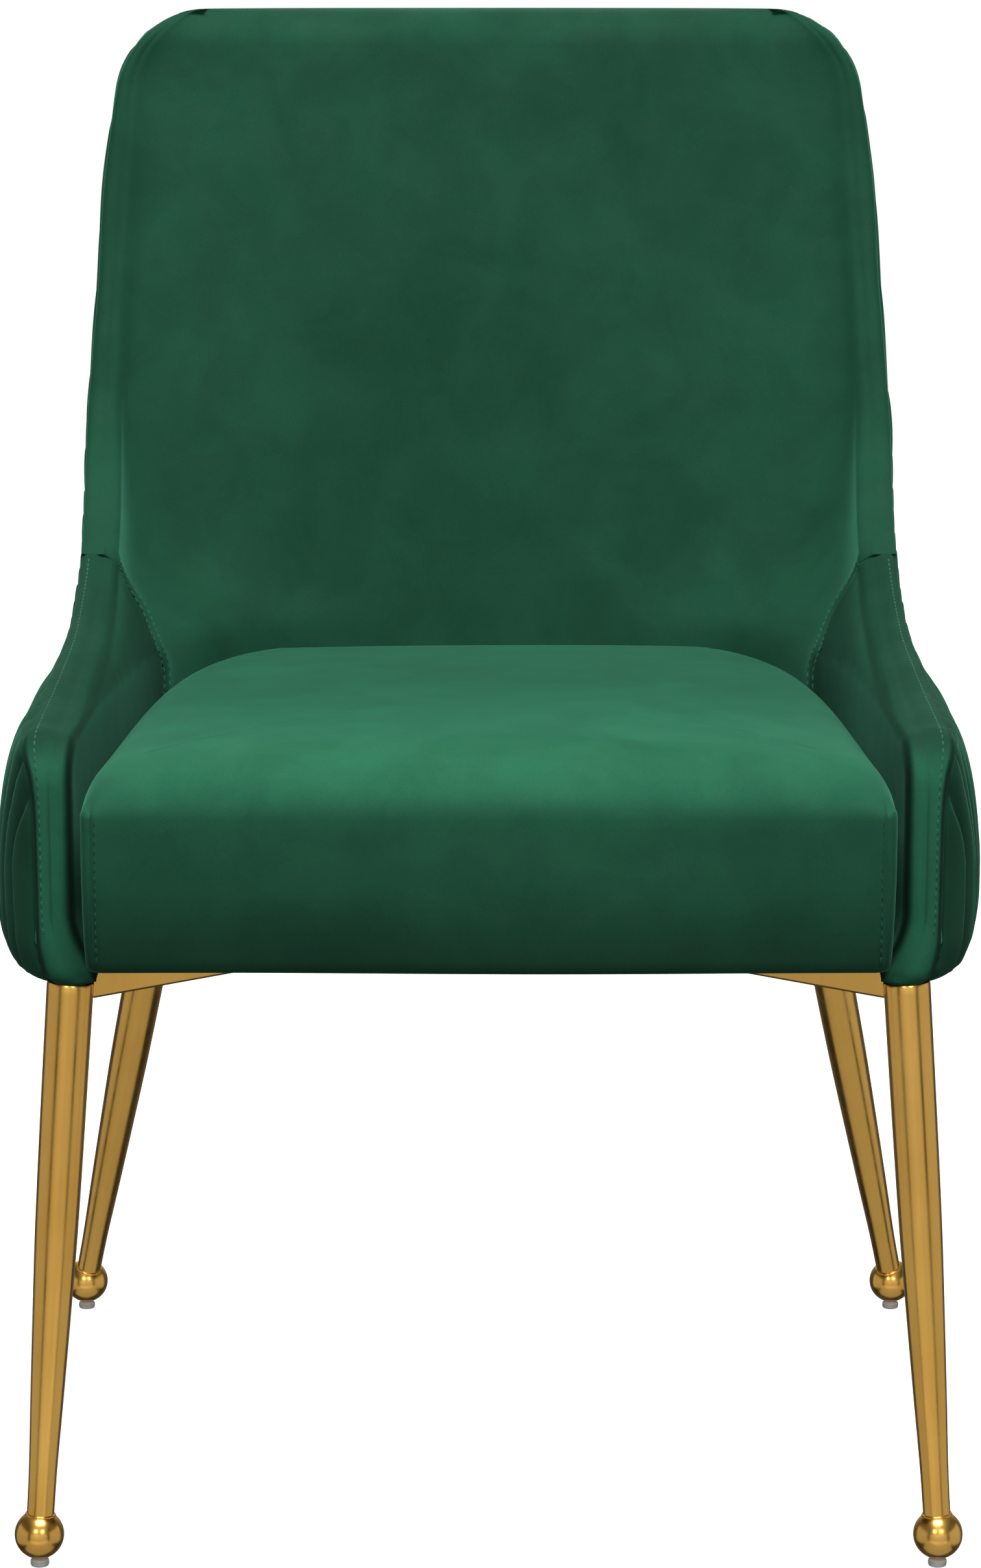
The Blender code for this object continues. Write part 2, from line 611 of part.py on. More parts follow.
def leg_socket(hip, foot, name, cutters):
    """Cutter that shapes a bar's end to the leg it is welded to."""
    radius = LEG_TAPER[0][1] + GAP
    socket = turned(name, [(0.0, 0.03), (radius, 0.03), (radius, -0.06), (0.0, -0.06)], None, cutters)
    socket.matrix_world = along(hip, foot)
    return helper(socket)


def cross_bars(gold, where, cutters):
    """One bar runs from leg to leg; the two halves of the other butt against it."""
    z = BAR_TOP - BAR_H / 2

    def flat(point):
        return Vector((point.x, point.y, z))

    def bar(name, start, end):
        direction = (end - start).normalized()
        turn = Matrix.Rotation(math.atan2(direction.y, direction.x), 4, "Z")
        return box(name, ((end - start).length, BAR_W, BAR_H), (start + end) / 2, gold, where,
                   turn=turn, bevel=0.0015)

    right_front = flat(corner(FRONT_HIP, -1))
    left_rear = flat(corner(REAR_HIP, 1))
    full = bar("cross_bar_long", right_front, left_rear)
    cut(full, leg_socket(corner(FRONT_HIP, -1), corner(FRONT_FOOT, -1), "socket_front_right", cutters),
        leg_socket(corner(REAR_HIP, 1), corner(REAR_FOOT, 1), "socket_rear_left", cutters))
    left_front = flat(corner(FRONT_HIP, 1))
    right_rear = flat(corner(REAR_HIP, -1))
    share = left_front.x / (left_front.x - right_rear.x)
    crossing = left_front.lerp(right_rear, share)
    first = (left_rear - right_front).normalized()
    second = (right_rear - left_front).normalized()
    sine = abs(first.x * second.y - first.y * second.x)
    cosine = abs(first.dot(second))
    stop = (BAR_W / 2 + GAP + BAR_W / 2 * cosine) / sine
    front_half = bar("cross_bar_front_half", left_front, crossing - second * stop)
    cut(front_half, leg_socket(corner(FRONT_HIP, 1), corner(FRONT_FOOT, 1), "socket_front_left", cutters))
    rear_half = bar("cross_bar_rear_half", crossing + second * stop, right_rear)
    cut(rear_half, leg_socket(corner(REAR_HIP, -1), corner(REAR_FOOT, -1), "socket_rear_right", cutters))


def plate_places():
    """(name, centre, bolt centre, direction) of each mounting plate, all at Z = 0."""
    places = []
    for side, side_name in ((1, "left"), (-1, "right")):
        front = Vector((side * FRONT_HIP.x, FRONT_HIP.y, 0))
        rear = Vector((-side * REAR_HIP.x, REAR_HIP.y, 0))
        direction = (rear - front).normalized()
        across = Vector((-direction.y, direction.x, 0))
        for end, at, start, way in (("front", FRONT_PLATE_AT, front, direction),
                                    ("rear", REAR_PLATE_AT, rear, -direction)):
            centre = start + way * at
            choices = [centre + across * BOLT_OFFSET, centre - across * BOLT_OFFSET]
            bolt = min(choices, key=lambda p: p.y)
            name = f"{end}_{side_name if end == 'front' else ('right' if side == 1 else 'left')}"
            places.append((name, centre, bolt, direction))
    return places


def mounting(steel, bolt_steel, where, cutters):
    """Plates on the bars and bolts through them into the corner blocks, with the drill cutters."""
    drills = []
    for name, centre, bolt_at, direction in plate_places():
        turn = Matrix.Rotation(math.atan2(direction.y, direction.x), 4, "Z")
        plate = box(f"mounting_plate_{name}", PLATE, centre + Vector((0, 0, PLATE_BOTTOM + PLATE[2] / 2)),
                    steel, where, turn=turn)
        drill = helper(turned(f"drill_{name}", [(0.0, BOLT_TOP + GAP), (BOLT_R + GAP, BOLT_TOP + GAP),
                                                (BOLT_R + GAP, 0.34), (0.0, 0.34)], None, cutters, SMALL_FACETS))
        drill.location = (bolt_at.x, bolt_at.y, 0)
        cut(plate, drill)
        drills.append(drill)
        head_top = PLATE_BOTTOM - GAP
        bolt = turned(f"bolt_{name}", [(0.0, BOLT_TOP), (BOLT_R, BOLT_TOP), (BOLT_R, head_top),
                                       (BOLT_HEAD_R, head_top), (BOLT_HEAD_R, head_top - BOLT_HEAD_H),
                                       (0.0, head_top - BOLT_HEAD_H)], bolt_steel, where, SMALL_FACETS)
        bolt.location = (bolt_at.x, bolt_at.y, 0)
    return drills


# ---------------------------------------------------------------- underside
def seat_dust_cover(cambric, drills, where):
    """Black cloth stapled under the seat frame, pierced by the four bolts."""
    front, rear = recess_outline(0.001)
    outline = [(front[0], FRONT_Y + front[1]), (rear[0], FRONT_Y + rear[1])]
    outline += [(-x, y) for x, y in reversed(outline)]
    top = RAIL_BOTTOM - GAP
    cloth = prism("seat_dust_cover", outline, top - DUST_COVER_T, top, cambric, where)
    return cut(cloth, *drills)


def shell_dust_cover(cambric, where):
    """Black cloth that closes the underside of the arms and of the back."""
    top = INNER_BOTTOM - 0.0035
    rings = []
    for z in (top - 0.0015, top):
        outer = [wall_point(z, q, COVER_T + 2 * LAYER_GAP, "outer") for q in steps(0.07, 1.0, 13)]
        inner = []
        for q in steps(0.07, 1.0, 13):
            x, depth = inner_point(z, q)
            inner.append(Vector((x, FRONT_Y + depth, z)))
        outer += mirrored(reversed(outer[:-1]))
        inner += mirrored(reversed(inner[:-1]))
        rings.append(outer + inner[::-1])
    return loft("shell_dust_cover", rings, cambric, where, strip_caps=True)


def main():
    for old in list(bpy.data.objects):
        bpy.data.objects.remove(old)
    parts = collection("Dining chair")
    cutters = collection("Cutters")
    velvet = material("Green velvet", (0.010, 0.075, 0.038), 0.85)
    gold = material("Polished gold", (0.62, 0.36, 0.10), 0.18, 1.0)
    plastic = material("Pale plastic", (0.75, 0.76, 0.74), 0.45)
    wood = material("Solid wood", (0.55, 0.38, 0.22), 0.65)
    plywood = material("Bent plywood", (0.62, 0.46, 0.28), 0.60)
    jute = material("Jute webbing", (0.45, 0.34, 0.20), 0.90)
    steel = material("Zinc steel", (0.55, 0.56, 0.58), 0.35, 1.0)
    cambric = material("Black cambric", (0.012, 0.012, 0.013), 0.95)

    outer_covers(velvet, parts)
    arm_bands(velvet, parts)
    inner_pads(velvet, parts)
    seat_cushion(velvet, parts, cutters)
    side_boards(plywood, parts)
    back_board(plywood, parts)
    seat_frame(wood, parts)
    webbing(jute, parts)
    back_frame(wood, parts)
    legs(gold, plastic, parts, cutters)
    cross_bars(gold, parts, cutters)
    drills = mounting(steel, steel, parts, cutters)
    for name in ("front_left", "front_right", "rear_left", "rear_right"):
        drill = next(d for d in drills if d.name == f"drill_{name}")
        cut(bpy.data.objects[f"corner_block_{name}"], drill)
    seat_dust_cover(cambric, drills, parts)
    shell_dust_cover(cambric, parts)


main()
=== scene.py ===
"""Looks for the velvet dining chair: soft goods, gold base, wood and cloth inside, and the studio.

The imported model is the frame. Metres, +Z up; "depth" is the distance behind the arms' front edge.
"""

import math

import bmesh
import bpy
import numpy as np
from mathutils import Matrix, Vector


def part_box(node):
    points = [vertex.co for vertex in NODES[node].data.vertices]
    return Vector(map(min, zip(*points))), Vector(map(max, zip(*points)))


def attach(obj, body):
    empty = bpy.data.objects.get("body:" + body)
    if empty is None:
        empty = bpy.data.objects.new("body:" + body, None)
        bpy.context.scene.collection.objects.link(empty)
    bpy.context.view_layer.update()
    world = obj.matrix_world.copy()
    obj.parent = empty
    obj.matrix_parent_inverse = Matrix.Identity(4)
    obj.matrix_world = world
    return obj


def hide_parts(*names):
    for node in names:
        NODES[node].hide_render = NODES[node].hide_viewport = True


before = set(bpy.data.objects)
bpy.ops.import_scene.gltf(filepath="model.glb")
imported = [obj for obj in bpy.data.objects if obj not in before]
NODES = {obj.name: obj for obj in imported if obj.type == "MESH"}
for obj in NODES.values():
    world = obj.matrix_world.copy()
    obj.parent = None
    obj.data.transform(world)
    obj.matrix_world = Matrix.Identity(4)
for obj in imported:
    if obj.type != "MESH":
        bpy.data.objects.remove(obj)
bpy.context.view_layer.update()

# ---------------------------------------------------------------- form of the shell, as in the CAD
FRONT_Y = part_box("arm_band_left")[0].y
HEIGHT = 0.868
SHELL_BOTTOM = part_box("arm_band_left")[0].z
HEM = SHELL_BOTTOM + 0.0002       # lowest line of the arms' inner velvet
CORNER = 0.027                    # rounding of the arm's front top corner, in side view
CORNER_TOP = 0.4852               # height at which that rounding ends
TOE = 0.006                       # arm's front bottom corner, in side view
BACK_LEAN = math.radians(8.5)
BACK_CORNER = 0.050
TOP_ROUND = 0.0225
ARM_THICK = 0.0215
RIM_THICK = 0.014
SEAT_LEVEL = 0.46
INNER_BACK = 0.425
ARM_TAPER = 0.10
BULGE_RUN = 0.035
SEAM_TOP = 0.540                  # where the seam between side and back velvet meets the rim
SIDE_EDGE = ((0.0, 0.482), (0.10, 0.493), (0.20, 0.507), (0.30, 0.533), (0.36, 0.566),
             (0.40, 0.604), (0.425, 0.655), (0.45, 0.755), (0.466, 0.830), (0.475, HEIGHT))
SEAM_HALF = ((SHELL_BOTTOM, 0.2455), (0.37, 0.251), (0.482, 0.2515), (0.51, 0.2485), (0.56, 0.2480),
             (0.61, 0.2480), (0.66, 0.2460), (0.75, 0.2395), (HEIGHT, 0.2300))
FULL_HALF = ((SHELL_BOTTOM, 0.2745), (0.350, 0.2785), (0.36, 0.2820), (0.385, 0.2848), (0.40, 0.2848),
             (0.42, 0.2833), (0.44, 0.2806), (0.455, 0.2773), (0.47, 0.2722), (0.482, 0.2658),
             (0.493, 0.2575), (0.51, 0.2530), (0.56, 0.2545), (0.60, 0.2560), (0.65, 0.2535),
             (0.70, 0.2510), (0.75, 0.2475), (0.80, 0.2410), (0.84, 0.2350), (HEIGHT, 0.2330))
BACK_OUTER = ((SHELL_BOTTOM, 0.478), (0.36, 0.490), (0.40, 0.500), (0.50, 0.512), (0.65, 0.522),
              (0.80, 0.530), (HEIGHT, 0.532))
PAD_SEAM = ((0.36, 0.42), (0.466, 0.42), (0.482, 0.405), (0.499, 0.365), (0.515, 0.285),
            (0.53, 0.14), (SEAM_TOP, 0.0))


def smooth(points, x):
    """Value at x of a smooth monotone curve through points."""
    xs, ys = np.array(points, float).T
    x = np.clip(np.asarray(x, float), xs[0], xs[-1])
    i = np.clip(np.searchsorted(xs, x, side="right") - 1, 0, len(xs) - 2)
    slope = np.diff(ys) / np.diff(xs)
    product = slope[:-1] * slope[1:]
    total = np.where(product > 0, slope[:-1] + slope[1:], 1.0)
    tangent = np.concatenate(([slope[0]], np.where(product > 0, 2 * product / total, 0.0), [slope[-1]]))
    h = (xs[1:] - xs[:-1])[i]
    t = (x - xs[i]) / h
    return ((2 * t**3 - 3 * t**2 + 1) * ys[i] + (t**3 - 2 * t**2 + t) * h * tangent[i]
            + (3 * t**2 - 2 * t**3) * ys[i + 1] + (t**3 - t**2) * h * tangent[i + 1])


def hermite(x):
    """0 below 0, 1 above 1, and an even S between."""
    x = np.clip(x, 0.0, 1.0)
    return x * x * (3 - 2 * x)


def turning(q):
    """Angle, from 0 to a right angle, at fraction q of a half section."""
    return math.pi / 2 * q**2 / (q**2 + (1 - q) ** 2)


def path_length(points):
    """Distance run along a polyline at each of its points."""
    steps = np.linalg.norm(np.diff(points, axis=0), axis=1)
    return np.concatenate(([0.0], np.cumsum(steps)))


# how far the outer seam stands out from the CAD's, by height
SEAM_SHIFT = ((SHELL_BOTTOM, 0.0040), (0.44, 0.0045), (0.462, 0.0062), (0.482, 0.0105), (0.493, 0.0070),
              (0.51, 0.0035), (0.56, 0.0052), (0.60, 0.0066), (0.65, 0.0058), (0.70, 0.0050), (0.75, 0.0064),
              (0.80, 0.0046), (0.84, 0.0020), (HEIGHT, 0.0016))


def edge_depth(z):
    """Depth of the shell's side edge at height z, with its corner and toe rounded."""
    z = np.asarray(z, float)
    rise = np.clip(z - (CORNER_TOP - CORNER), 0.0, CORNER)
    drop = np.clip(HEM + TOE - z, 0.0, TOE)
    return np.where(z < CORNER_TOP, CORNER - np.sqrt(CORNER**2 - rise**2) + TOE - np.sqrt(TOE**2 - drop**2),
                    smooth([(height, depth) for depth, height in SIDE_EDGE], z))


def front_shift(z):
    """How far the arm's front stands out inside from the CAD, at height z."""
    return 0.0045 * hermite((0.512 - np.asarray(z, float)) / 0.05)


def bottom_flare(z):
    """How far the arm's front widens inwards near its lower end."""
    return 0.0100 * hermite((0.384 - np.asarray(z, float)) / 0.038)


def round_off(z, radius):
    """Distance lost at height z to a top edge rounded to that radius."""
    rise = np.clip(np.asarray(z, float) - (HEIGHT - radius), 0.0, radius)
    return radius - np.sqrt(radius**2 - rise**2)


def section_start(z):
    return edge_depth(z) + np.minimum(round_off(z, TOP_ROUND), 0.5 * TOP_ROUND)


def inner_middle(z):
    return INNER_BACK + (z - SEAT_LEVEL) * math.tan(BACK_LEAN) + round_off(z, TOP_ROUND)


def outer_middle(z):
    return smooth(BACK_OUTER, z) - round_off(z, TOP_ROUND)


def thickness(z):
    """Width of the rim: the arm's front face, its top, and the edge of the back."""
    return smooth(((0.48, ARM_THICK), (0.62, RIM_THICK)), z)


def squareness(z):
    """Exponent of the inside's section: boxy round the seat, easing to a shallow curve up the back."""
    return 0.45 + 0.27 * hermite((np.asarray(z, float) - 0.52) / 0.13)


def inner_x(depth, z):
    """Half width of the inside at a depth and a height."""
    start, middle = section_start(z), inner_middle(z)
    along = np.clip((depth - start) / (middle - start), 0.0, 1.0)
    power = squareness(z)
    across = (1 - np.clip(along ** (1 / power), 0, 1) ** 2) ** (power / 2)
    taper = (1 + ARM_TAPER * (1 - depth / INNER_BACK)) / (1 + ARM_TAPER * (1 - start / INNER_BACK))
    half = (smooth(SEAM_HALF, z) - round_off(z, BACK_CORNER) - thickness(z)) * across * taper
    return half + front_shift(z) * np.exp(-depth / 0.09) - bottom_flare(z) * np.exp(-depth / 0.05)


def outer_x(depth, z):
    """Half width of the outside at a depth and a height."""
    start, middle = section_start(z), outer_middle(z)
    along = np.clip((depth - start) / (middle - start), 0.0, 1.0)
    across = np.clip(1 - along**4, 0, 1) ** 0.25
    share = np.arcsin(along**2) / (math.pi / 2)
    q = np.sqrt(share) / (np.sqrt(share) + np.sqrt(1 - share))
    inset = round_off(z, BACK_CORNER)
    seam, full = smooth(SEAM_HALF, z) + smooth(SEAM_SHIFT, z) - inset, smooth(FULL_HALF, z) - inset
    run = np.clip(depth - start, 0, None)
    return full * across - (full - seam) * np.exp(-run / BULGE_RUN) * (1 - q) ** 2


def depth_at(q, z):
    """Depth of the inside at fraction q of the half section."""
    return section_start(z) + (inner_middle(z) - section_start(z)) * np.sin(turning(q)) ** squareness(z)


def seam_depth(z):
    """Depth of the seam between side and back velvet."""
    return depth_at(np.maximum(smooth(PAD_SEAM, z), 0.0), z)


def to_edge(depth, z, line):
    """Distance of each point of a side view to a line drawn in it, and the line's inward normal there."""
    points = np.stack([np.asarray(depth, float).ravel(), np.asarray(z, float).ravel()], 1)
    best = np.full(len(points), 1e9)
    inward = np.zeros_like(points)
    for a, b in zip(line[:-1], line[1:]):
        span = b - a
        long = math.hypot(*span)
        if long < 1e-6:
            continue
        t = np.clip(((points - a) @ span) / long**2, 0, 1)
        far = np.hypot(*(points - a - t[:, None] * span).T)
        nearer = far < best
        best = np.where(nearer, far, best)
        inward[nearer] = np.array([span[1], -span[0]]) / long
    return best.reshape(np.shape(z)), inward.reshape(*np.shape(z), 2)


# ---------------------------------------------------------------- mesh helpers
def made_of(name, verts, faces, finish, angle=math.radians(50)):
    """A shaded mesh object that rides on the chair."""
    mesh = bpy.data.meshes.new(name)
    mesh.from_pydata([tuple(v) for v in verts], [], [tuple(f) for f in faces])
    bm = bmesh.new()
    bm.from_mesh(mesh)
    bmesh.ops.remove_doubles(bm, verts=bm.verts, dist=0.00002)
    bmesh.ops.dissolve_degenerate(bm, edges=bm.edges, dist=0.00001)
    bmesh.ops.recalc_face_normals(bm, faces=bm.faces)
    bm.to_mesh(mesh)
    bm.free()
    mesh.shade_smooth()
    if angle:
        mesh.set_sharp_from_angle(angle=angle)
    mesh.materials.append(finish)
    piece = bpy.data.objects.new(name, mesh)
    bpy.context.scene.collection.objects.link(piece)
    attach(piece, "root")
    return piece


def grid_faces(rows, columns, offset=0, around=False):
    """Quads of a grid whose vertices are numbered row by row."""
    faces = []
    last = columns if around else columns - 1
    for r in range(rows - 1):
        for c in range(last):
            n = (c + 1) % columns
            faces.append((offset + r * columns + c, offset + r * columns + n,
                          offset + (r + 1) * columns + n, offset + (r + 1) * columns + c))
    return faces


def row_points(x, depth, z):
    x, depth, z = np.broadcast_arrays(x, depth, z)
    return np.stack([x, FRONT_Y + depth, z], -1)


def mirror(points):
    return points * np.array([-1.0, 1.0, 1.0])


def along_line(points, normals, spacing):
    """Points at even spacing along a polyline, with unit directions and the normals there."""
    length = path_length(points)
    at = np.arange(spacing / 2, length[-1], spacing)
    spots, ahead, behind = (np.stack([np.interp(at + shift, length, points[:, k]) for k in range(3)], 1)
                            for shift in (0.0, 0.001, -0.001))
    ups = np.stack([np.interp(at, length, normals[:, k]) for k in range(3)], 1)
    direction = ahead - behind
    return spots, direction / np.linalg.norm(direction, axis=1)[:, None], ups


# a sewn dash: place along it, lift off the cloth and girth, as shares of its length, radius and radius
DASH = ((-0.5, -0.7, 0.35), (-0.42, 0.1, 0.8), (-0.2, 0.45, 1.0), (0.2, 0.45, 1.0), (0.42, 0.1, 0.8),
        (0.5, -0.7, 0.35))
DASH_SIDES = 6


def stitches(name, lines, finish, pitch=0.0052, dash=0.0036, radius=0.00042, sink=0.00005):
    """Rows of sewn dashes: each line is (points, outward normals) on a surface."""
    verts, faces = [], []
    for points, normals in lines:
        for spot, way, up in zip(*along_line(points, normals, pitch)):
            up = up - way * (up @ way)
            up /= np.linalg.norm(up)
            side = np.cross(way, up)
            first = len(verts)
            for share, lift, girth in DASH:
                centre = spot + way * dash * share + up * (radius * lift - sink)
                for k in range(DASH_SIDES):
                    a = 2 * math.pi / DASH_SIDES * k
                    verts.append(centre + (side * math.cos(a) + up * math.sin(a) * 0.7) * radius * girth)
            faces += grid_faces(len(DASH), DASH_SIDES, first, around=True)
            faces.append(tuple(range(first, first + DASH_SIDES)))
            faces.append(tuple(range(len(verts) - DASH_SIDES, len(verts))))
    return made_of(name, verts, faces, finish, angle=None)


def worn_by(piece, sewn):
    """Stitching moves with the piece that it is sewn to."""
    sewn.parent = piece


# ---------------------------------------------------------------- materials
class Nodes:
    """A material's node tree, with short calls to add to it."""

    def __init__(self, name):
        self.material = bpy.data.materials.new(name)
        self.material.use_nodes = True
        self.tree = self.material.node_tree
        self.shader = self.tree.nodes["Principled BSDF"]
        self.place = self.add("ShaderNodeTexCoord").outputs["Object"]

    def add(self, kind, **settings):
        node = self.tree.nodes.new(kind)
        for key, value in settings.items():
            setattr(node, key, value)
        return node

    def link(self, source, target):
        self.tree.links.new(source, target)

    def stretched(self, scale):
        """Object coordinates scaled by axis."""
        node = self.add("ShaderNodeMapping")
        node.inputs["Scale"].default_value = scale
        self.link(self.place, node.inputs["Vector"])
        return node.outputs["Vector"]

    def noise(self, scale, detail=3.0, roughness=0.5, where=None, distortion=0.0):
        node = self.add("ShaderNodeTexNoise")
        node.inputs["Scale"].default_value = scale
        node.inputs["Detail"].default_value = detail
        node.inputs["Roughness"].default_value = roughness
        node.inputs["Distortion"].default_value = distortion
        self.link(where or self.place, node.inputs["Vector"])
        return node.outputs["Fac"]

    def ramp(self, value, *stops):
        """Colours or greys at positions of a value."""
        node = self.add("ShaderNodeValToRGB")
        while len(node.color_ramp.elements) < len(stops):
            node.color_ramp.elements.new(0.5)
        for element, (position, colour) in zip(node.color_ramp.elements, stops):
            element.position = position
            colour = (colour,) * 3 if isinstance(colour, (int, float)) else colour
            element.color = (*colour, 1.0)
        self.link(value, node.inputs["Fac"])
        return node.outputs["Color"]

    def along(self, output, axis, low, high):
        """0 to 1 between two values of one part of the object coordinates, or of the normal's size."""
        split = self.add("ShaderNodeSeparateXYZ")
        self.link(self.place.node.outputs[output], split.inputs[0])
        value = split.outputs[axis]
        if output == "Normal":
            size = self.add("ShaderNodeMath", operation="ABSOLUTE")
            self.link(value, size.inputs[0])
            value = size.outputs[0]
        span = self.add("ShaderNodeMapRange", interpolation_type="SMOOTHSTEP")
        span.inputs["From Min"].default_value = low
        span.inputs["From Max"].default_value = high
        self.link(value, span.inputs["Value"])
        return span.outputs["Result"]

    def mix(self, a, b, how="MULTIPLY", amount=1.0):
        node = self.add("ShaderNodeMix", data_type="RGBA", blend_type=how)
        node.inputs["Factor"].default_value = amount
        self.link(a, node.inputs["A"])
        self.link(b, node.inputs["B"])
        return node.outputs["Result"]

    def bump(self, height, strength, distance, after=None):
        node = self.add("ShaderNodeBump")
        node.inputs["Strength"].default_value = strength
        node.inputs["Distance"].default_value = distance
        self.link(height, node.inputs["Height"])
        if after is not None:
            self.link(after, node.inputs["Normal"])
        return node.outputs["Normal"]

    def set(self, **values):
        for key, value in values.items():
            socket = self.shader.inputs[key.replace("_", " ")]
            if hasattr(value, "is_linked"):
                self.link(value, socket)
            else:
                socket.default_value = value
        return self.material


def velvet(name, dark, light, patch=3.2, shade=None, sheen=0.36):
    """Short-pile velvet: nap lying in soft patches, a fine pile, and a sheen along its turned edges."""
    n = Nodes(name)
    drift = n.noise(patch, 3.0, 0.45, distortion=0.6)
    colour = n.ramp(drift, (0.30, dark), (0.72, light))
    brushed = n.ramp(n.noise(19.0, 4.0, 0.6, distortion=0.4), (0.35, 0.86), (0.65, 1.08))
    pile = n.ramp(n.noise(1500.0, 2.0, 0.6), (0.25, 0.88), (0.75, 1.10))
    colour = n.mix(n.mix(colour, brushed), pile)
    # shade, when given, multiplies painted light and shade into the colour
    if shade:
        colour = n.mix(colour, shade(n))
    roughness = n.ramp(n.noise(40.0, 3.0), (0.3, 0.74), (0.7, 0.90))
    normal = n.bump(n.noise(7.0, 2.0, 0.4), 0.25, 0.004)
    normal = n.bump(n.noise(60.0, 3.0, 0.5), 0.12, 0.0010, normal)
    normal = n.bump(n.noise(2200.0, 1.0), 0.20, 0.0003, normal)
    return n.set(Base_Color=colour, Roughness=roughness, Normal=normal,
                 Sheen_Weight=sheen, Sheen_Roughness=0.40,
                 Sheen_Tint=(0.20, 0.80, 0.50, 1.0), Specular_IOR_Level=0.12)


def gold():
    """Polished gold plate, with faint haze and fine brushing along the tubes."""
    n = Nodes("polished_gold")
    colour = n.ramp(n.noise(14.0, 3.0), (0.3, (0.80, 0.45, 0.095)), (0.7, (0.88, 0.52, 0.125)))
    streak = n.noise(260.0, 2.0, 0.5, n.stretched((1.0, 1.0, 0.02)))
    roughness = n.mix(n.ramp(n.noise(22.0, 4.0, 0.6), (0.3, 0.20), (0.75, 0.30)),
                      n.ramp(streak, (0.3, 0.85), (0.7, 1.15)))
    normal = n.bump(n.noise(6.0, 2.0), 0.10, 0.0015)
    return n.set(Base_Color=colour, Metallic=1.0, Roughness=roughness, Normal=normal)


def wood(name, pale, dark, along=(1.0, 14.0, 14.0)):
    """Sawn timber or ply: stretched grain with pores."""
    n = Nodes(name)
    grain = n.noise(9.0, 8.0, 0.62, n.stretched(along), 1.2)
    pores = n.noise(60.0, 3.0, 0.6, n.stretched(along))
    colour = n.mix(n.ramp(grain, (0.35, dark), (0.65, pale)), n.ramp(pores, (0.40, 0.80), (0.52, 1.0)))
    return n.set(Base_Color=colour, Roughness=n.ramp(grain, (0.3, 0.72), (0.7, 0.58)),
                 Normal=n.bump(grain, 0.25, 0.0008))


def woven(name, colour, thread, pitch):
    """Coarse plain weave: two crossed sets of threads."""
    n = Nodes(name)
    across = n.add("ShaderNodeTexWave", wave_type="BANDS", bands_direction="X")
    down = n.add("ShaderNodeTexWave", wave_type="BANDS", bands_direction="Y")
    for wave in (across, down):
        wave.inputs["Scale"].default_value = pitch
        n.link(n.place, wave.inputs["Vector"])
    cloth = n.mix(across.outputs["Color"], down.outputs["Color"], "MULTIPLY")
    shade = n.ramp(cloth, (0.0, thread), (0.8, colour))
    fuzz = n.ramp(n.noise(420.0, 3.0), (0.3, 0.8), (0.7, 1.1))
    return n.set(Base_Color=n.mix(shade, fuzz), Roughness=0.9, Normal=n.bump(cloth, 0.5, 0.0006))


def metal():
    """Zinc-plated steel with a clouded finish."""
    n = Nodes("zinc_steel")
    cloud = n.noise(90.0, 5.0, 0.65)
    colour = n.ramp(cloud, (0.3, (0.40, 0.41, 0.42)), (0.7, (0.60, 0.61, 0.62)))
    roughness = n.ramp(cloud, (0.3, 0.30), (0.7, 0.48))
    return n.set(Base_Color=colour, Metallic=1.0, Roughness=roughness, Normal=n.bump(cloud, 0.08, 0.0004))


def plastic():
    """Pale, slightly clear plastic of the glides."""
    n = Nodes("pale_plastic")
    cloud = n.noise(300.0, 3.0)
    colour = n.ramp(cloud, (0.3, (0.62, 0.63, 0.61)), (0.7, (0.76, 0.77, 0.74)))
    return n.set(Base_Color=colour, Roughness=0.42, Transmission_Weight=0.15,
                 Normal=n.bump(cloud, 0.10, 0.0003))


def arm_painted_shade(n):
    """Painted light and shade on the arms' velvet: brighter on the front, darker on top and inside, and a
    painted shadow down beside the cushion.
    """
    # painted shade by facing: upright faces lighter, upward faces darker
    facing_shade = n.ramp(n.along("Normal", "Z", 0.05, 0.95), (0.0, 1.75), (1.0, 0.62))
    # painted shade on the faces turned inwards
    inside = n.along("Normal", "X", 0.45, 0.95)
    facing_shade = n.mix(facing_shade, n.ramp(inside, (0.0, 1.0), (1.0, 0.27)))
    # painted contact shadow low down beside the cushion, on the inside faces only
    beside = n.ramp(n.along("Object", "Z", 0.455, 0.515), (0.0, 0.15), (1.0, 1.0))
    front = n.ramp(inside, (0.0, 1.0), (1.0, 0.0))
    return n.mix(facing_shade, n.mix(beside, front, "LIGHTEN"))


def seat_painted_light(n):
    """Painted light and shade on the seat's velvet: a painted highlight along the front roll, and painted
    shade down towards the foot of its front.
    """
    # painted shade: darker towards the bottom of the front
    height = n.along("Object", "Z", 0.356, 0.478)
    down = n.ramp(height, (0.0, 0.36), (0.35, 0.62), (0.75, 0.72), (1.0, 1.0))
    # painted highlight near the front, fading towards the back
    back = n.ramp(n.along("Object", "Y", FRONT_Y + 0.03, FRONT_Y + 0.22), (0.0, 1.40), (1.0, 0.98))
    return n.mix(down, back)


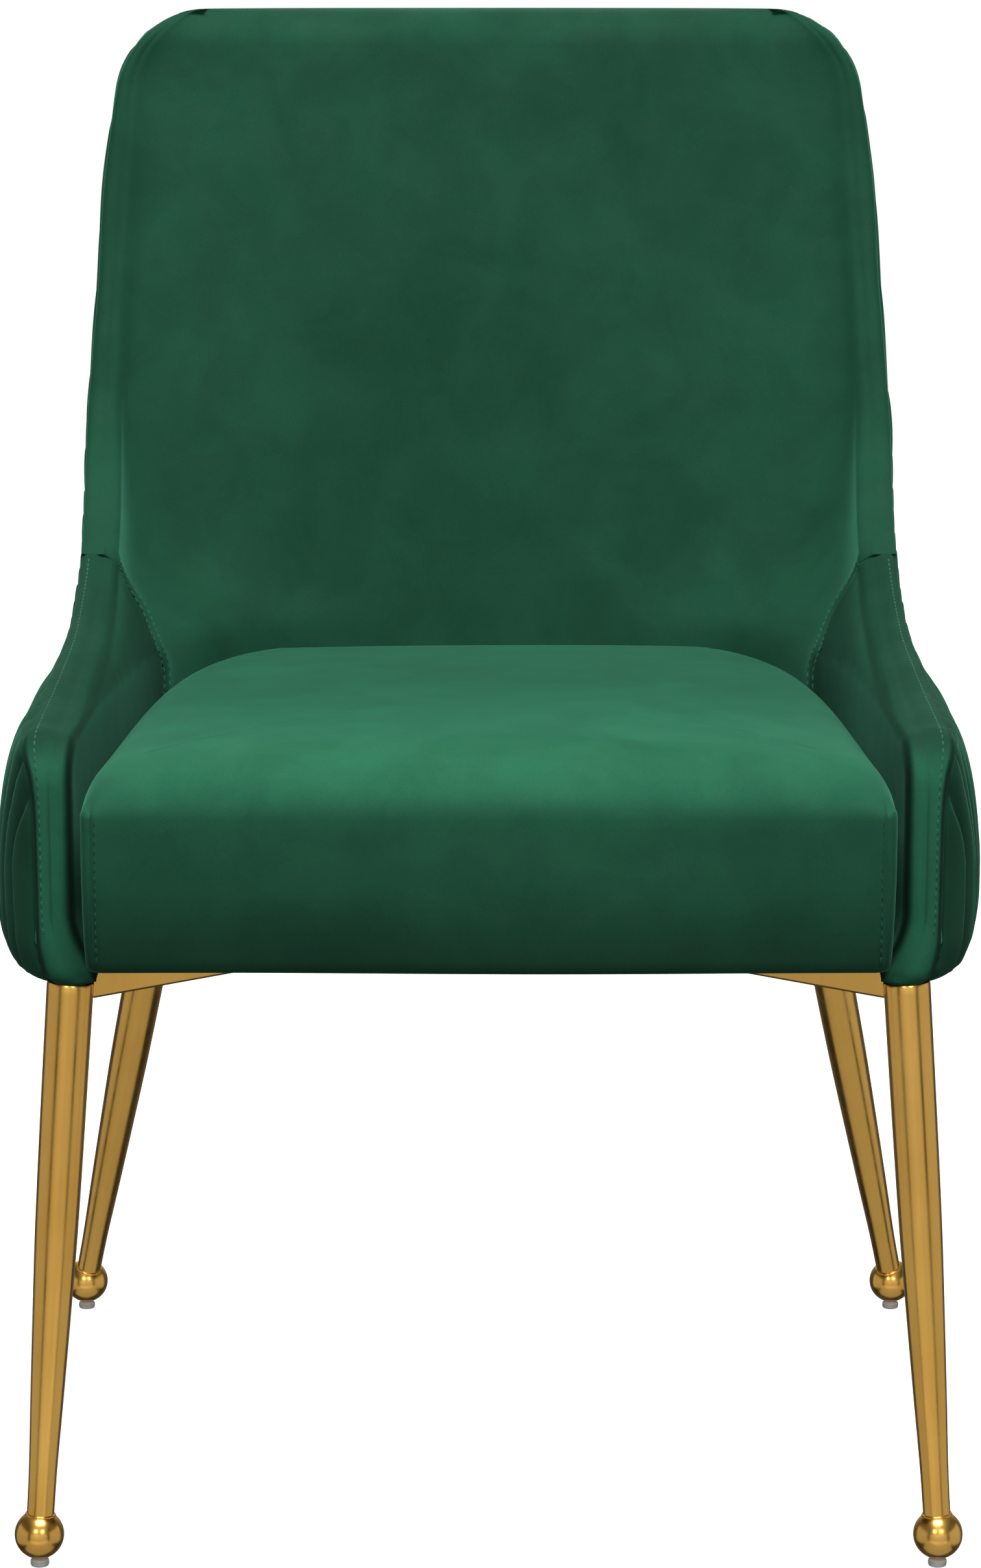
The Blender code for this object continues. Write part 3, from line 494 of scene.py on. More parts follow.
# The seat, side, inner and outer velvets are one cloth: their base colours are lit and shaded copies,
# painted darker from seat to side, inner and outer.
SEAT_VELVET = velvet("green_velvet_seat", (0.0105, 0.078, 0.040), (0.0145, 0.100, 0.052), shade=seat_painted_light)
SIDE_VELVET = velvet("green_velvet_side", (0.0095, 0.068, 0.036), (0.0135, 0.088, 0.047), shade=arm_painted_shade,
                     sheen=0.16)
INNER_VELVET = velvet("green_velvet_inner", (0.0078, 0.057, 0.030), (0.0112, 0.075, 0.040), sheen=0.30)
OUTER_VELVET = velvet("green_velvet_outer", (0.0055, 0.044, 0.022), (0.0090, 0.062, 0.032), patch=6.0,
                      sheen=0.20)
THREAD = velvet("green_thread", (0.024, 0.110, 0.068), (0.040, 0.145, 0.092), patch=40.0)
GOLD = gold()
TIMBER = wood("solid_wood", (0.58, 0.40, 0.23), (0.40, 0.25, 0.13))
PLY = wood("bent_plywood", (0.64, 0.48, 0.30), (0.47, 0.32, 0.18), along=(14.0, 14.0, 1.0))
JUTE = woven("jute_webbing", (0.46, 0.34, 0.19), (0.22, 0.15, 0.08), 160.0)
CAMBRIC = woven("black_cambric", (0.020, 0.020, 0.022), (0.006, 0.006, 0.007), 320.0)
ZINC = metal()
PALE = plastic()


# ------------------------------------------------- side velvet: inside of an arm, its front and top
ROUNDING = 0.0105                 # inner edge of the rim
HEM_ROUNDING = 0.0025             # inner edge of the arm's underside
SEAM_SINK = 0.0034                # how far the outer seam lies in below the rim
RIM_CROWN = 0.0026                # how far the rim stands out between its edges
STITCH_RING = 4                   # the ring of the rim's strip that its topstitching follows
TUCK_DEPTH = 0.009                # how deep the rim's velvet goes into the outer seam
TUCK_IN = 0.0012                  # and how far inwards there
BESIDE_SEAM = 0.0050              # topstitching's distance from the seam between side and back
SEAM_SHOWS = 0.452                # that seam is stitched from this height up, above the cushion
NEAR_EDGE = np.array([0.0, 0.25, 0.8, 1.6, 2.8, 4.2, 5.8, 7.6, 9.6, 12.0, 15.0, 18.5, 22.5, 27.0,
                      32.0]) / 1000
STRIP = (0.10, 0.22, 0.35, 0.48, 0.60, 0.70, 0.78, 0.85, 0.91, 0.96, 0.99, 1.0)


def spread(count, total, far=()):
    """Distances from 0 to total: closer together near 0, and at given distances from the end."""
    ends = total - np.array(sorted(far, reverse=True)) if len(far) else np.array([total])
    middle = np.linspace(NEAR_EDGE[-1], ends[0], count)[1:-1]
    return np.concatenate((NEAR_EDGE, middle, ends))


def arc_corner(across, up, size):
    """Distances from two edges, moved so that the square corner between them becomes an arc."""
    near = (size - across > 0) & (size - up > 0)
    u, v = np.clip((size - across) / size, 0, 1), np.clip((size - up) / size, 0, 1)
    moved_u, moved_v = u * np.sqrt(1 - v**2 / 2), v * np.sqrt(1 - u**2 / 2)
    return near, size * (1 - moved_u), size * (1 - moved_v)


def side_grid():
    """Depths and heights over the inside of an arm: rows run up, columns run back."""
    tall = SEAM_TOP - HEM
    length = float(seam_depth(SEAM_TOP))
    columns = spread(44, length, far=(0.0, 0.0012, 0.003, 0.006, 0.010)) / length
    rows = 1 - spread(26, tall)[::-1] / tall
    s, t = np.meshgrid(columns, rows)
    levels = np.linspace(HEM, SEAM_TOP, 60)
    reach = seam_depth(levels)
    edge_z = np.linspace(CORNER_TOP, SEAM_TOP, 200)
    edge_d = edge_depth(edge_z)
    top = np.full(columns.shape, 0.5)
    for _ in range(25):
        top = np.interp(columns * np.interp(top, levels, reach), edge_d, edge_z)
    top_of = np.broadcast_to(np.maximum(top, CORNER_TOP), s.shape)
    z = HEM + t * (top_of - HEM)
    depth = s * np.interp(z, levels, reach)
    near, moved, below = arc_corner(depth, top_of - z, CORNER)
    depth, z = np.where(near, moved, depth), np.where(near, top_of - below, z)
    low, moved, above = arc_corner(depth, z - HEM, TOE)
    return np.where(low, moved, depth), np.where(low, HEM + above, z)


def rim_line(depth, z):
    """The side panel's outline in side view: along the bottom, up the front and back along the top."""
    bottom = np.stack([depth[0, ::-1], z[0, ::-1]], 1)
    front = np.stack([depth[1:, 0], z[1:, 0]], 1)
    top = np.stack([depth[-1, 1:], z[-1, 1:]], 1)
    return np.concatenate((bottom, front, top))


SIDE_DEPTH, SIDE_Z = side_grid()
RIM = rim_line(SIDE_DEPTH, SIDE_Z)
FRONT_RIM = RIM[SIDE_Z.shape[1] - 1:]  # from the front's lowest point up and back


def rim_sink(share, crown, crown_end, seam_from):
    """How far a rim lies in, at a share of its width: out between its edges, then rolling into the seam."""
    over = min(max(share - seam_from, 0) / (1 - seam_from), 1.0)
    return SEAM_SINK * (1 - math.sqrt(1 - over**2)) - crown * math.sin(math.pi * min(share / crown_end, 1))


def rim_strip(line, x_near, x_seam, inward):
    """Rings of points over the rim, from its inner edge to the outer seam and into the groove."""
    rings = []
    for share in STRIP:
        place = line + inward * rim_sink(share, RIM_CROWN, 0.95, 0.72)
        rings.append(row_points(x_near + (x_seam - x_near) * share, place[:, 0], place[:, 1]))
    place = line + inward * TUCK_DEPTH
    rings.append(row_points(x_seam - TUCK_IN, place[:, 0], place[:, 1]))
    return rings


def rolled(away, radius):
    """How far a surface has turned out sideways at a distance from the edge that it rolls over."""
    return radius - np.sqrt(np.clip(radius**2 - np.clip(radius - away, 0, None) ** 2, 0, None))


def seam_groove(away):
    """The dip at a seam, with a slight swelling beside it."""
    return 0.0010 * np.exp(-(away / 0.0016) ** 2) - 0.0004 * np.exp(-((away - 0.006) / 0.004) ** 2)


def side_surface(sign):
    """Points of the inside of an arm, as far as its rounded edge."""
    depth, z = SIDE_DEPTH, SIDE_Z
    away, _ = to_edge(depth, z, FRONT_RIM)
    turn = rolled(away, ROUNDING * np.minimum(1.0, thickness(z) / ARM_THICK))
    turn = np.maximum(turn, rolled(np.clip(z - HEM, 0, HEM_ROUNDING), HEM_ROUNDING))
    soft = 0.0010 * np.sin(depth * 21 + z * 17 + sign) * hermite(away / 0.03)
    return row_points(inner_x(depth, z) + turn + seam_groove(seam_depth(z) - depth) + soft, depth, z)


def side_velvet(name, sign, nodes):
    grid = side_surface(sign)
    rows, columns = SIDE_Z.shape
    boundary = np.concatenate((grid[0, ::-1], grid[1:, 0], grid[-1, 1:]))
    tangent = np.gradient(RIM, axis=0)
    tangent /= np.maximum(np.linalg.norm(tangent, axis=1), 1e-9)[:, None]
    inward = np.stack([tangent[:, 1], -tangent[:, 0]], 1)
    strip = rim_strip(RIM, boundary[:, 0], outer_x(RIM[:, 0], RIM[:, 1]), inward)
    count = len(boundary)
    to_side = np.array([sign, 1.0, 1.0])
    verts = np.concatenate([grid.reshape(-1, 3), boundary] + strip) * to_side
    faces = grid_faces(rows, columns) + grid_faces(len(strip) + 1, count, rows * columns)
    piece = made_of(name, verts, faces, SIDE_VELVET, angle=None)
    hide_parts(*nodes)

    ring = slice(columns + 5, -3)
    normals = np.stack([np.zeros(count), -inward[:, 0], -inward[:, 1]], 1)
    seam_z = np.linspace(SEAM_SHOWS, SEAM_TOP - 0.004, 70)
    beside = seam_depth(seam_z) - BESIDE_SEAM
    seam_line = row_points(inner_x(beside, seam_z) - 0.0004, beside, seam_z) * to_side
    facing = np.broadcast_to(np.array([-sign, -0.25, 0.1]), seam_line.shape)
    lines = [((strip[STITCH_RING] * to_side)[ring], normals[ring]), (seam_line, facing)]
    worn_by(piece, stitches(name.replace("velvet", "topstitch"), lines, THREAD))


# ---------------------------------------------------------------- back velvet
def half_section(z, q, middle, power, half_width):
    """Points (half width, depth) at fractions q of a section at height z."""
    start = section_start(z)
    depth = start + (middle - start) * np.sin(turning(q)) ** power
    return np.stack([np.where(q < 1, half_width(depth, np.full_like(depth, z)), 0.0), depth], 1)


def section(z, q_first, count=500):
    """Points across the inside at height z, from fraction q_first to the middle."""
    return half_section(z, np.linspace(q_first, 1.0, count), inner_middle(z), squareness(z), inner_x)


def outer_section(z, count=500):
    """Points across the outside at height z, from its front edge to the middle."""
    return half_section(z, np.linspace(0.0, 1.0, count), outer_middle(z), 0.5, outer_x)


def resampled(points, distances):
    """Points of an outline at the distances along it that distances(its length) gives, and those."""
    length = path_length(points)
    at = distances(length[-1])
    return np.stack([np.interp(at, length, points[:, 0]), np.interp(at, length, points[:, 1])], 1), at


BACK_COLUMNS = 34
BACK_LOW = 0.425                  # the back's velvet goes down behind the cushion to this height
BACK_ROUNDING = 0.0075            # inner edge of the back's rim
BACK_CROWN = 0.0018
BACK_STRIP = (0.12, 0.26, 0.42, 0.58, 0.72, 0.82, 0.90, 0.96, 1.0)
CREST = 0.0030                    # the outer seam runs this far below the top, on the rear
# rows over the crest: angle of the rounding, and how far each goes in under the outer cover
OVER_CREST = ((80.0, 0.0), (70.0, 0.0), (62.0, 0.0003), (54.0, 0.0026), (44.0, 0.0048))


def spread_back(total):
    return spread(BACK_COLUMNS, total)


def first_share(z):
    """Fraction of the section at which the back's velvet begins."""
    return float(max(smooth(PAD_SEAM, z), 0.0))


def rim_row(z):
    """A row of the back above the arms: groove, rim and inside, from the outer seam to the middle."""
    line, at = resampled(section(z, 0.0), spread_back)
    x, depth = line[:, 0].copy(), line[:, 1].copy()
    crest = float(round_off(z, TOP_ROUND)) / TOP_ROUND
    fade = max(0.0, 1 - 2.2 * crest)
    x += rolled(at, BACK_ROUNDING) * (1 - crest)
    far = float(outer_x(section_start(z), z))
    x *= 1 + (far / x[0] - 1) * crest
    strip = [(x[0] + (far - x[0]) * share, depth[0] + rim_sink(share, BACK_CROWN, 0.95, 0.70) * fade)
             for share in BACK_STRIP]
    strip.append((far - TUCK_IN * fade, depth[0] + TUCK_DEPTH * fade))
    return [(a, FRONT_Y + b, z) for a, b in strip[::-1] + list(zip(x, depth))]


def seam_row(z):
    """A row of the back between the arms: from inside the seam with the side velvet to the middle."""
    line, at = resampled(section(z, first_share(z)), spread_back)
    way = np.gradient(line, axis=0)
    way /= np.linalg.norm(way, axis=1)[:, None]
    out = np.stack([-way[:, 1], way[:, 0]], 1)
    outward = np.where(out[:, :1] + out[:, 1:] > 0, out, -out)
    line = line + outward * seam_groove(at)[:, None]
    sunk = tuple(line[0] + 0.0030)
    return [(a, FRONT_Y + b, z) for a, b in [sunk] * (len(BACK_STRIP) + 1) + [tuple(p) for p in line]]


def crest_row(lean, under):
    """A row behind the top edge, going in under the outer cover."""
    z = HEIGHT - TOP_ROUND * (1 - math.sin(math.radians(lean)))
    line, _ = resampled(outer_section(z), spread_back)
    back_share = (line[:, 1] - line[0, 1]) / (line[-1, 1] - line[0, 1])
    line = np.stack([line[:, 0] * (1 - under / 0.2), line[:, 1] - under * back_share], 1)
    edge = [tuple(line[0])] * (len(BACK_STRIP) + 1)
    return [(a, FRONT_Y + b, z) for a, b in edge + [tuple(p) for p in line]]


def back_surface():
    """Points of the back's velvet, both halves, with a slight drift in its flatness."""
    over_top = HEIGHT - TOP_ROUND + TOP_ROUND * np.sin(np.radians(np.linspace(0, 90, 14)))
    front_z = np.concatenate((np.linspace(BACK_LOW, HEIGHT - TOP_ROUND, 66)[:-1], over_top))
    rows = [rim_row(z) if z >= SEAM_TOP else seam_row(z) for z in front_z]
    rows += [crest_row(lean, under) for lean, under in OVER_CREST]
    half = np.array(rows)
    half[:, -1, 0] = 0.0
    full = np.concatenate((half, mirror(half[:, -2::-1])), axis=1)
    x, z = full[..., 0], full[..., 2]
    inside = hermite((0.20 - np.abs(x)) / 0.08) * hermite((HEIGHT - 0.05 - z) / 0.08)
    full[..., 1] += 0.0009 * np.sin(x * 13.0 + z * 9.0) * np.cos(z * 15 - x * 5) * inside
    return full


def back_velvet():
    full = back_surface()
    rows, columns = full.shape[:2]
    piece = made_of("back_velvet", full.reshape(-1, 3), grid_faces(rows, columns), INNER_VELVET,
                    angle=math.radians(62))
    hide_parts("back_pad")
    beside = []
    for z in np.linspace(SEAM_SHOWS, SEAM_TOP - 0.003, 70):
        line, _ = resampled(section(z, first_share(z)), lambda total: np.array([0.0052]))
        beside.append((line[0, 0] - 0.0003, FRONT_Y + line[0, 1] - 0.0004, z))
    lines = []
    for sign in (1.0, -1.0):
        seam = np.array(beside) * np.array([sign, 1.0, 1.0])
        lines.append((seam, np.broadcast_to(np.array([-sign, -0.9, 0.1]), seam.shape)))
    worn_by(piece, stitches("back_topstitch", lines, THREAD))


# ---------------------------------------------------------------- pleated outer cover
PIVOT = 0.25                      # depth of the upright axis that the pleats are spread round
COVER_ROWS = 84
COVER_LOW = SHELL_BOTTOM + 0.0004
BASE_LEVEL = 35                   # the section along which the columns are spaced


def pleat_edges(length, seed):
    """Places of the folds along the cover, 9 to 25 mm apart."""
    draw = np.random.default_rng(seed)
    places = [0.0]
    while places[-1] < length + 0.05:
        places.append(places[-1] + draw.uniform(0.009, 0.017) * draw.choice([1.0, 1.0, 1.45]))
    return np.array(places), draw


def column_places(length):
    """Places of the columns along the cover: closer together near the front seam."""
    step_front, step_rear = 0.0011, 0.0019
    at = [0.0]
    while at[-1] < length:
        at.append(at[-1] + step_front + (step_rear - step_front) * min(at[-1] / 0.16, 1.0))
    return np.array(at) * length / at[-1]


def upper_rim():
    """The whole outer seam in side view, up the arm's front and along its top to the back's top edge."""
    z_rim = np.linspace(SEAM_TOP, HEIGHT - CREST, 120)[1:]
    return np.concatenate((FRONT_RIM, np.stack([section_start(z_rim), z_rim], 1)))


def column_tops(psi, rim):
    """Top of each column: where it meets the rim, or just behind the back's top edge."""
    upper = rim[rim[:, 1] >= 0.40]
    rim_psi = np.arctan2(upper[:, 0] - PIVOT, outer_x(upper[:, 0], upper[:, 1]))
    order = np.argsort(rim_psi, kind="stable")
    rim_psi, rim_z = rim_psi[order], np.maximum.accumulate(upper[:, 1][order])
    return np.interp(psi, rim_psi, rim_z, left=float(upper[0, 1]), right=HEIGHT - CREST)


def flat_cover(rim):
    """Half of the outside without folds: points, columns' places and angles, their tops and its length."""
    levels = np.concatenate((np.linspace(SHELL_BOTTOM, 0.50, 70), np.linspace(0.50, HEIGHT - CREST, 90)[1:]))
    sections = [outer_section(z, 700) for z in levels]
    angles = [np.arctan2(s[:, 1] - PIVOT, np.maximum(s[:, 0], 0)) for s in sections]
    run = path_length(sections[BASE_LEVEL])
    at = column_places(run[-1])
    psi = np.interp(at, run, angles[BASE_LEVEL])
    psi[0] -= 0.04
    top = column_tops(psi, rim)
    t = np.linspace(0, 1, COVER_ROWS)
    t = 0.5 * (t + 0.5 * (1 - np.cos(math.pi * t)))
    z = COVER_LOW + t[:, None] * (top - COVER_LOW)[None, :]
    layers = []
    for axis in range(2):
        table = np.stack([np.interp(psi, a, s[:, axis]) for a, s in zip(angles, sections)])
        layers.append(np.stack([np.interp(z[:, k], levels, table[:, k]) for k in range(len(psi))], 1))
    return np.stack(layers + [z], -1), at, psi, top, run[-1]


def outward_normals(points):
    """Unit normals of the flat cover, away from the upright axis."""
    normal = np.cross(np.gradient(points, axis=1), np.gradient(points, axis=0))
    normal /= np.maximum(np.linalg.norm(normal, axis=-1), 1e-12)[..., None]
    x, depth = points[..., 0], points[..., 1]
    outward = normal[..., :1] * x[..., None] + normal[..., 1:2] * (depth - PIVOT)[..., None]
    return normal * np.sign(outward + 1e-9)


def folds(z, at, length, seed):
    """Height of the folds: rounded lobes between sharp creases, which bend forward into the front seam."""
    lean = 0.036 * hermite((z - 0.405) / 0.085)
    creases, draw = pleat_edges(length + 0.10, seed)
    sway = draw.uniform(-1, 1, (len(creases), 3))
    s = at[None, :] + lean * np.exp(-at[None, :] / 0.075)
    wander = 0.0018 * np.sin(z * 9 + 3 * at[None, :] * 9) + 0.0010 * np.sin(z * 31 + at[None, :] * 40 + seed)
    s = s + wander * hermite(at[None, :] / 0.02)
    index = np.clip(np.searchsorted(creases, s, side="right") - 1, 0, len(creases) - 2)
    width = creases[index + 1] - creases[index]
    share = (s - creases[index]) / width
    height = 0.0044 * (width / 0.016) ** 0.6 * (0.85 + 0.25 * sway[index, 0])
    height = height * (0.86 + 0.14 * np.sin(z * 14 + 6 * sway[index, 1]))
    lobe = (1 - (1 - np.clip(share / 0.80, 0, 1)) ** 2.2) * (1 - hermite((share - 0.80) / 0.20)) ** 0.8
    return height * (lobe - 0.62)


def turned_under(points, normal):
    """The hem: rings that turn in under the cover's lowest row, innermost first."""
    inward = -normal[0] * np.array([1.0, 1.0, 0.0])
    under = []
    for reach, rise in ((0.0016, -0.0004), (0.0050, -0.0002), (0.0100, 0.0014), (0.0115, 0.0060)):
        ring = points[0] + inward * reach
        ring[:, 2] = COVER_LOW + rise
        under.append(ring)
    return np.array(under[::-1])


def cover_half(seed):
    """Points over half of the outside, front seam first: an array of rows by columns."""
    rim = upper_rim()
    points, at, psi, top, length = flat_cover(rim)
    depth, z = points[..., 1], points[..., 2]
    normal = outward_normals(points)
    beside_arm = psi[None, :] < 0.9
    # distance from the seams, where the pleats are gathered flat
    side_away, inward_here = to_edge(depth, z, rim)
    below_top = np.maximum(top[None, :] - z, 0)
    away = np.where(psi[None, :] > 0.9, below_top, np.minimum(side_away, below_top))
    gathered = 0.42 + 0.58 * hermite(away / 0.014)
    hemmed = 0.45 + 0.55 * hermite((z - COVER_LOW) / 0.020)
    lift = folds(z, at, length, seed) * gathered * hemmed - 0.0022 * np.exp(-(away / 0.0022) ** 2)
    lift = np.where(z > COVER_LOW + 0.002, lift, np.minimum(lift, 0.0))
    points = points + normal * lift[..., None]
    tuck = (SEAM_SINK - 0.0006) * np.exp(-side_away / 0.0030) * beside_arm
    points[..., 1:] += inward_here * tuck[..., None]
    points = np.concatenate((turned_under(points, normal), points), axis=0)
    points[:, -1, 0] = 0.0
    points[..., 1] += FRONT_Y
    return points


def pleated_cover():
    halves = [cover_half(4), cover_half(9)]
    middle = 0.5 * (halves[0][:, -1] + halves[1][:, -1])
    left, right = (half + (middle[:, None] - half[:, -1:]) * hermite(1 - half[..., 0] / 0.03)[..., None]
                   for half in halves)
    full = np.concatenate((left, mirror(right)[:, -2::-1]), axis=1)
    rows, columns = full.shape[:2]
    piece = made_of("pleated_cover", full.reshape(-1, 3), grid_faces(rows, columns), OUTER_VELVET,
                    angle=None)
    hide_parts("outer_cover_left", "outer_cover_right", "outer_cover_back")


# ---------------------------------------------------------------- seat cushion
CUSHION_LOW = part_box("seat_cushion")[0].z
CUSHION_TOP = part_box("seat_cushion")[1].z
CUSHION_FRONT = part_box("seat_cushion")[0].y - FRONT_Y
CUSHION_LEVEL = 0.44              # height at which the shell's inside gives the cushion its outline
CUSHION_CLEAR = 0.0094            # gap between that outline and the cushion
CUSHION_CORNER = 0.0085           # rounding of its front corners, seen from above
CUSHION_SEAM_X = 0.2215           # the sewn seam beside each front corner
# height above the lower edge, and how far the sides and the front are drawn in there
PROFILE = ((0.0040, 0.0150, 0.0150), (0.0010, 0.0080, 0.0080), (0.0, 0.0040, 0.0040),
           (0.0005, 0.0018, 0.0018),
           (0.0025, 0.0004, 0.0004), (0.008, -0.0004, -0.0004), (0.020, -0.0010, -0.0014),
           (0.034, -0.0014, -0.0022), (0.050, -0.0016, -0.0026), (0.062, -0.0016, -0.0026),
           (0.076, -0.0016, -0.0026), (0.088, -0.0016, -0.0026))
SIDE_OUT, FRONT_OUT = 0.0016, 0.0026  # how far the sides and the front stand out at their fullest
OVER_TOP = (0.12, 0.4, 0.9, 1.7, 2.8, 4.3, 6.2, 8.5, 11.5, 15.0, 19.5, 25.0, 32.0, 41.0, 52.0)
TOP_MIDDLE = np.array([0.0, 0.18])
BESIDE_CORNER = np.array([-5.0, -3.6, -2.6, -1.9, -1.3, -0.8, -0.4, 0, 0.4, 0.8, 1.3, 1.9, 2.6]) / 1000


def cushion_outline(inset, front_inset):
    """Half outline of the cushion, front middle to rear middle, drawn in by the insets."""
    q = np.linspace(0.0, 1.0, 400)
    across, along = np.maximum(np.cos(turning(q)), 0) ** 0.45, np.sin(turning(q)) ** 0.45
    depth = inner_middle(CUSHION_LEVEL) * along
    x = np.where(q < 1, inner_x(depth, np.full_like(depth, CUSHION_LEVEL)), 0.0)
    shrink = CUSHION_CLEAR + inset
    x, depth = x - shrink * across, depth - shrink * along
    front = CUSHION_FRONT + front_inset
    turn = np.radians(np.linspace(0, 90, 24))
    arc_x = x[0] - CUSHION_CORNER * (1 - np.sin(turn))
    arc_d = front + CUSHION_CORNER * (1 - np.cos(turn))
    line_x = np.linspace(0.0, arc_x[0], 60)[:-1]
    keep = depth > arc_d[-1] + 0.001
    line = np.concatenate((np.stack([line_x, np.full_like(line_x, front)], 1),
                           np.stack([arc_x, arc_d], 1), np.stack([x[keep], depth[keep]], 1)))
    line[-1, 0] = 0.0
    return line


def cushion_plan(inset, front_inset, slide=0.0):
    """The cushion's half outline at fixed stations, closer together beside the front corner's seam."""
    at = np.concatenate((np.linspace(0.0, 0.2150, 60), CUSHION_SEAM_X + BESIDE_CORNER,
                         np.linspace(0.2258, 0.2520, 14)))
    at = at - slide * np.clip(at / 0.20, 0, 1)
    line, _ = resampled(cushion_outline(inset, front_inset),
                        lambda total: np.concatenate((at, np.linspace(at[-1], total, 111)[1:])))
    return line


def quarter(distance, radius):
    """Rise from 0 to 1 over a rounded edge of that radius."""
    left = 1 - np.clip(distance / radius, 0, 1)
    return np.sqrt(np.clip(1 - left**2, 0, 1))


SHOULDER = 0.4460                 # height at which the cushion's upright sides start to round over


def crown_height(x, depth, inset):
    """Height of the cushion's top: a wide roll along the front, tighter ones at the sides, a slight dome."""
    half = inner_x(np.clip(depth, 0.0, 0.40), np.full_like(x, CUSHION_LEVEL)) - CUSHION_CLEAR + SIDE_OUT
    rear = inner_middle(CUSHION_LEVEL) - CUSHION_CLEAR + SIDE_OUT
    front = np.maximum(depth - CUSHION_FRONT + FRONT_OUT, inset)
    beside = np.maximum(half - np.abs(x), inset)
    roll = quarter(front, 0.050) * quarter(beside, 0.024) * quarter(rear - depth, 0.03)
    behind = np.clip(depth - 0.12, 0, None)
    dome = np.clip(1 - np.abs(x / 0.24) ** 3, 0, 1) * np.clip(1 - (behind / 0.32) ** 2, 0, 1)
    return SHOULDER + (CUSHION_TOP - SHOULDER) * roll * (0.58 + 0.42 * dome)


def cushion_form():
    """Rings of the crowned cushion from its lower edge to the middle of its top."""
    rings = []
    for rise, inset, front_inset in PROFILE + ((SHOULDER - CUSHION_LOW, -SIDE_OUT, -FRONT_OUT),):
        x, depth = cushion_plan(inset, front_inset).T
        rings.append(np.stack([x, depth, np.full(len(x), CUSHION_LOW + rise)], 1))
    for inset in np.array(OVER_TOP) / 1000:
        x, depth = cushion_plan(inset - SIDE_OUT, inset - FRONT_OUT, inset).T
        rings.append(np.stack([x, depth, crown_height(x, depth, inset)], 1))
    outline = rings[-1][:, :2]
    for share in np.concatenate((np.linspace(0.08, 0.96, 18), [0.99])):
        x, depth = (TOP_MIDDLE + (outline - TOP_MIDDLE) * (1 - share)).T
        rings.append(np.stack([x, depth, crown_height(x, depth, OVER_TOP[-1] / 1000)], 1))
    half = np.array(rings)
    half[:, 0, 0] = 0.0
    full = np.concatenate((half, mirror(half[:, -2:0:-1])), axis=1)
    full[..., 1] += FRONT_Y
    return full


def cushion_surface():
    """The cushion's rings with its front corner seams pulled in and its faces slightly uneven."""
    full = cushion_form()
    normal = np.cross(np.gradient(full, axis=1), np.gradient(full, axis=0))
    normal /= np.maximum(np.linalg.norm(normal, axis=-1), 1e-12)[..., None]
    centre = np.array([0.0, FRONT_Y + 0.2, 0.42])
    normal *= np.sign(np.sum(normal * (full - centre), -1))[..., None]
    x, y, z = full[..., 0], full[..., 1], full[..., 2]
    front = hermite((FRONT_Y + CUSHION_FRONT + 0.010 - y) / 0.006)
    upright = hermite((z - CUSHION_LOW - 0.004) / 0.01) * hermite((0.466 - z) / 0.010)
    beside = np.abs(np.abs(x) - CUSHION_SEAM_X)
    lift = -0.0016 * np.exp(-(beside / 0.0016) ** 2) * front * upright
    lift = lift + 0.0005 * np.sin(x * 16 + 1.0) * np.sin(z * 40) * front
    lift = lift + 0.0008 * np.sin(x * 11 + y * 7) * hermite((z - 0.455) / 0.01)
    return full + normal * lift[..., None]


def seat_cushion():
    full = cushion_surface()
    rows, columns = full.shape[:2]
    tip = np.array([[0.0, FRONT_Y + TOP_MIDDLE[1], full[-1, :, 2].max()]])
    verts = np.concatenate((full.reshape(-1, 3), tip))
    first = (rows - 1) * columns
    faces = grid_faces(rows, columns, around=True)
    faces += [(first + k, first + (k + 1) % columns, rows * columns) for k in range(columns)]
    piece = made_of("seat_velvet", verts, faces, SEAT_VELVET, angle=None)
    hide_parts("seat_cushion")
    lines = []
    heights = np.linspace(CUSHION_LOW + 0.006, SHOULDER, 60)
    rises, _, drawn_in = np.array(PROFILE[3:]).T
    face = FRONT_Y + CUSHION_FRONT + np.interp(heights - CUSHION_LOW, rises, drawn_in) - 0.0001
    for sign in (1.0, -1.0):
        line = np.stack([np.full_like(heights, sign * (CUSHION_SEAM_X - 0.0030)), face, heights], 1)
        lines.append((line, np.broadcast_to(np.array([0.0, -1.0, 0.0]), line.shape)))
    worn_by(piece, stitches("seat_topstitch", lines, INNER_VELVET))


# ---------------------------------------------------------------- gold base
LEG_TAPER = ((0.0, 0.0134), (0.25, 0.0130), (0.45, 0.0124), (0.63, 0.0110), (0.78, 0.0096),
             (0.94, 0.00805), (1.0, 0.0079))
BALL_R = 0.0143
GLIDE_R = 0.0054
GLIDE_H = 0.0040
COLLAR_R = 0.00825                # thin collar between leg and ball
COLLAR_THICK = 0.0007
# upper ends of the legs' axes: half the distance across, depth and height
HIP_FRONT = (0.2370, 0.0145, 0.3430)
HIP_REAR = (0.2045, 0.372, 0.3400)


def swept(profile, start, end, facets):
    """Points round the axis from start to end: profile is (radius, distance from start towards end)."""
    axis = (end - start).normalized()
    side = axis.cross(Vector((0, 1, 0))).normalized()
    other = axis.cross(side)
    verts = []
    for radius, reach in profile:
        for k in range(facets):
            a = 2 * math.pi * k / facets
            verts.append(start + axis * reach + (side * math.cos(a) + other * math.sin(a)) * radius)
    return verts


def turned(name, profile, start, end, finish, facets=56):
    """A turned piece with closed ends."""
    verts = swept(profile, start, end, facets)
    faces = grid_faces(len(profile), facets, around=True)
    faces += [tuple(range(facets)), tuple(range(len(verts) - facets, len(verts)))]
    return made_of(name, verts, faces, finish, angle=math.radians(40))


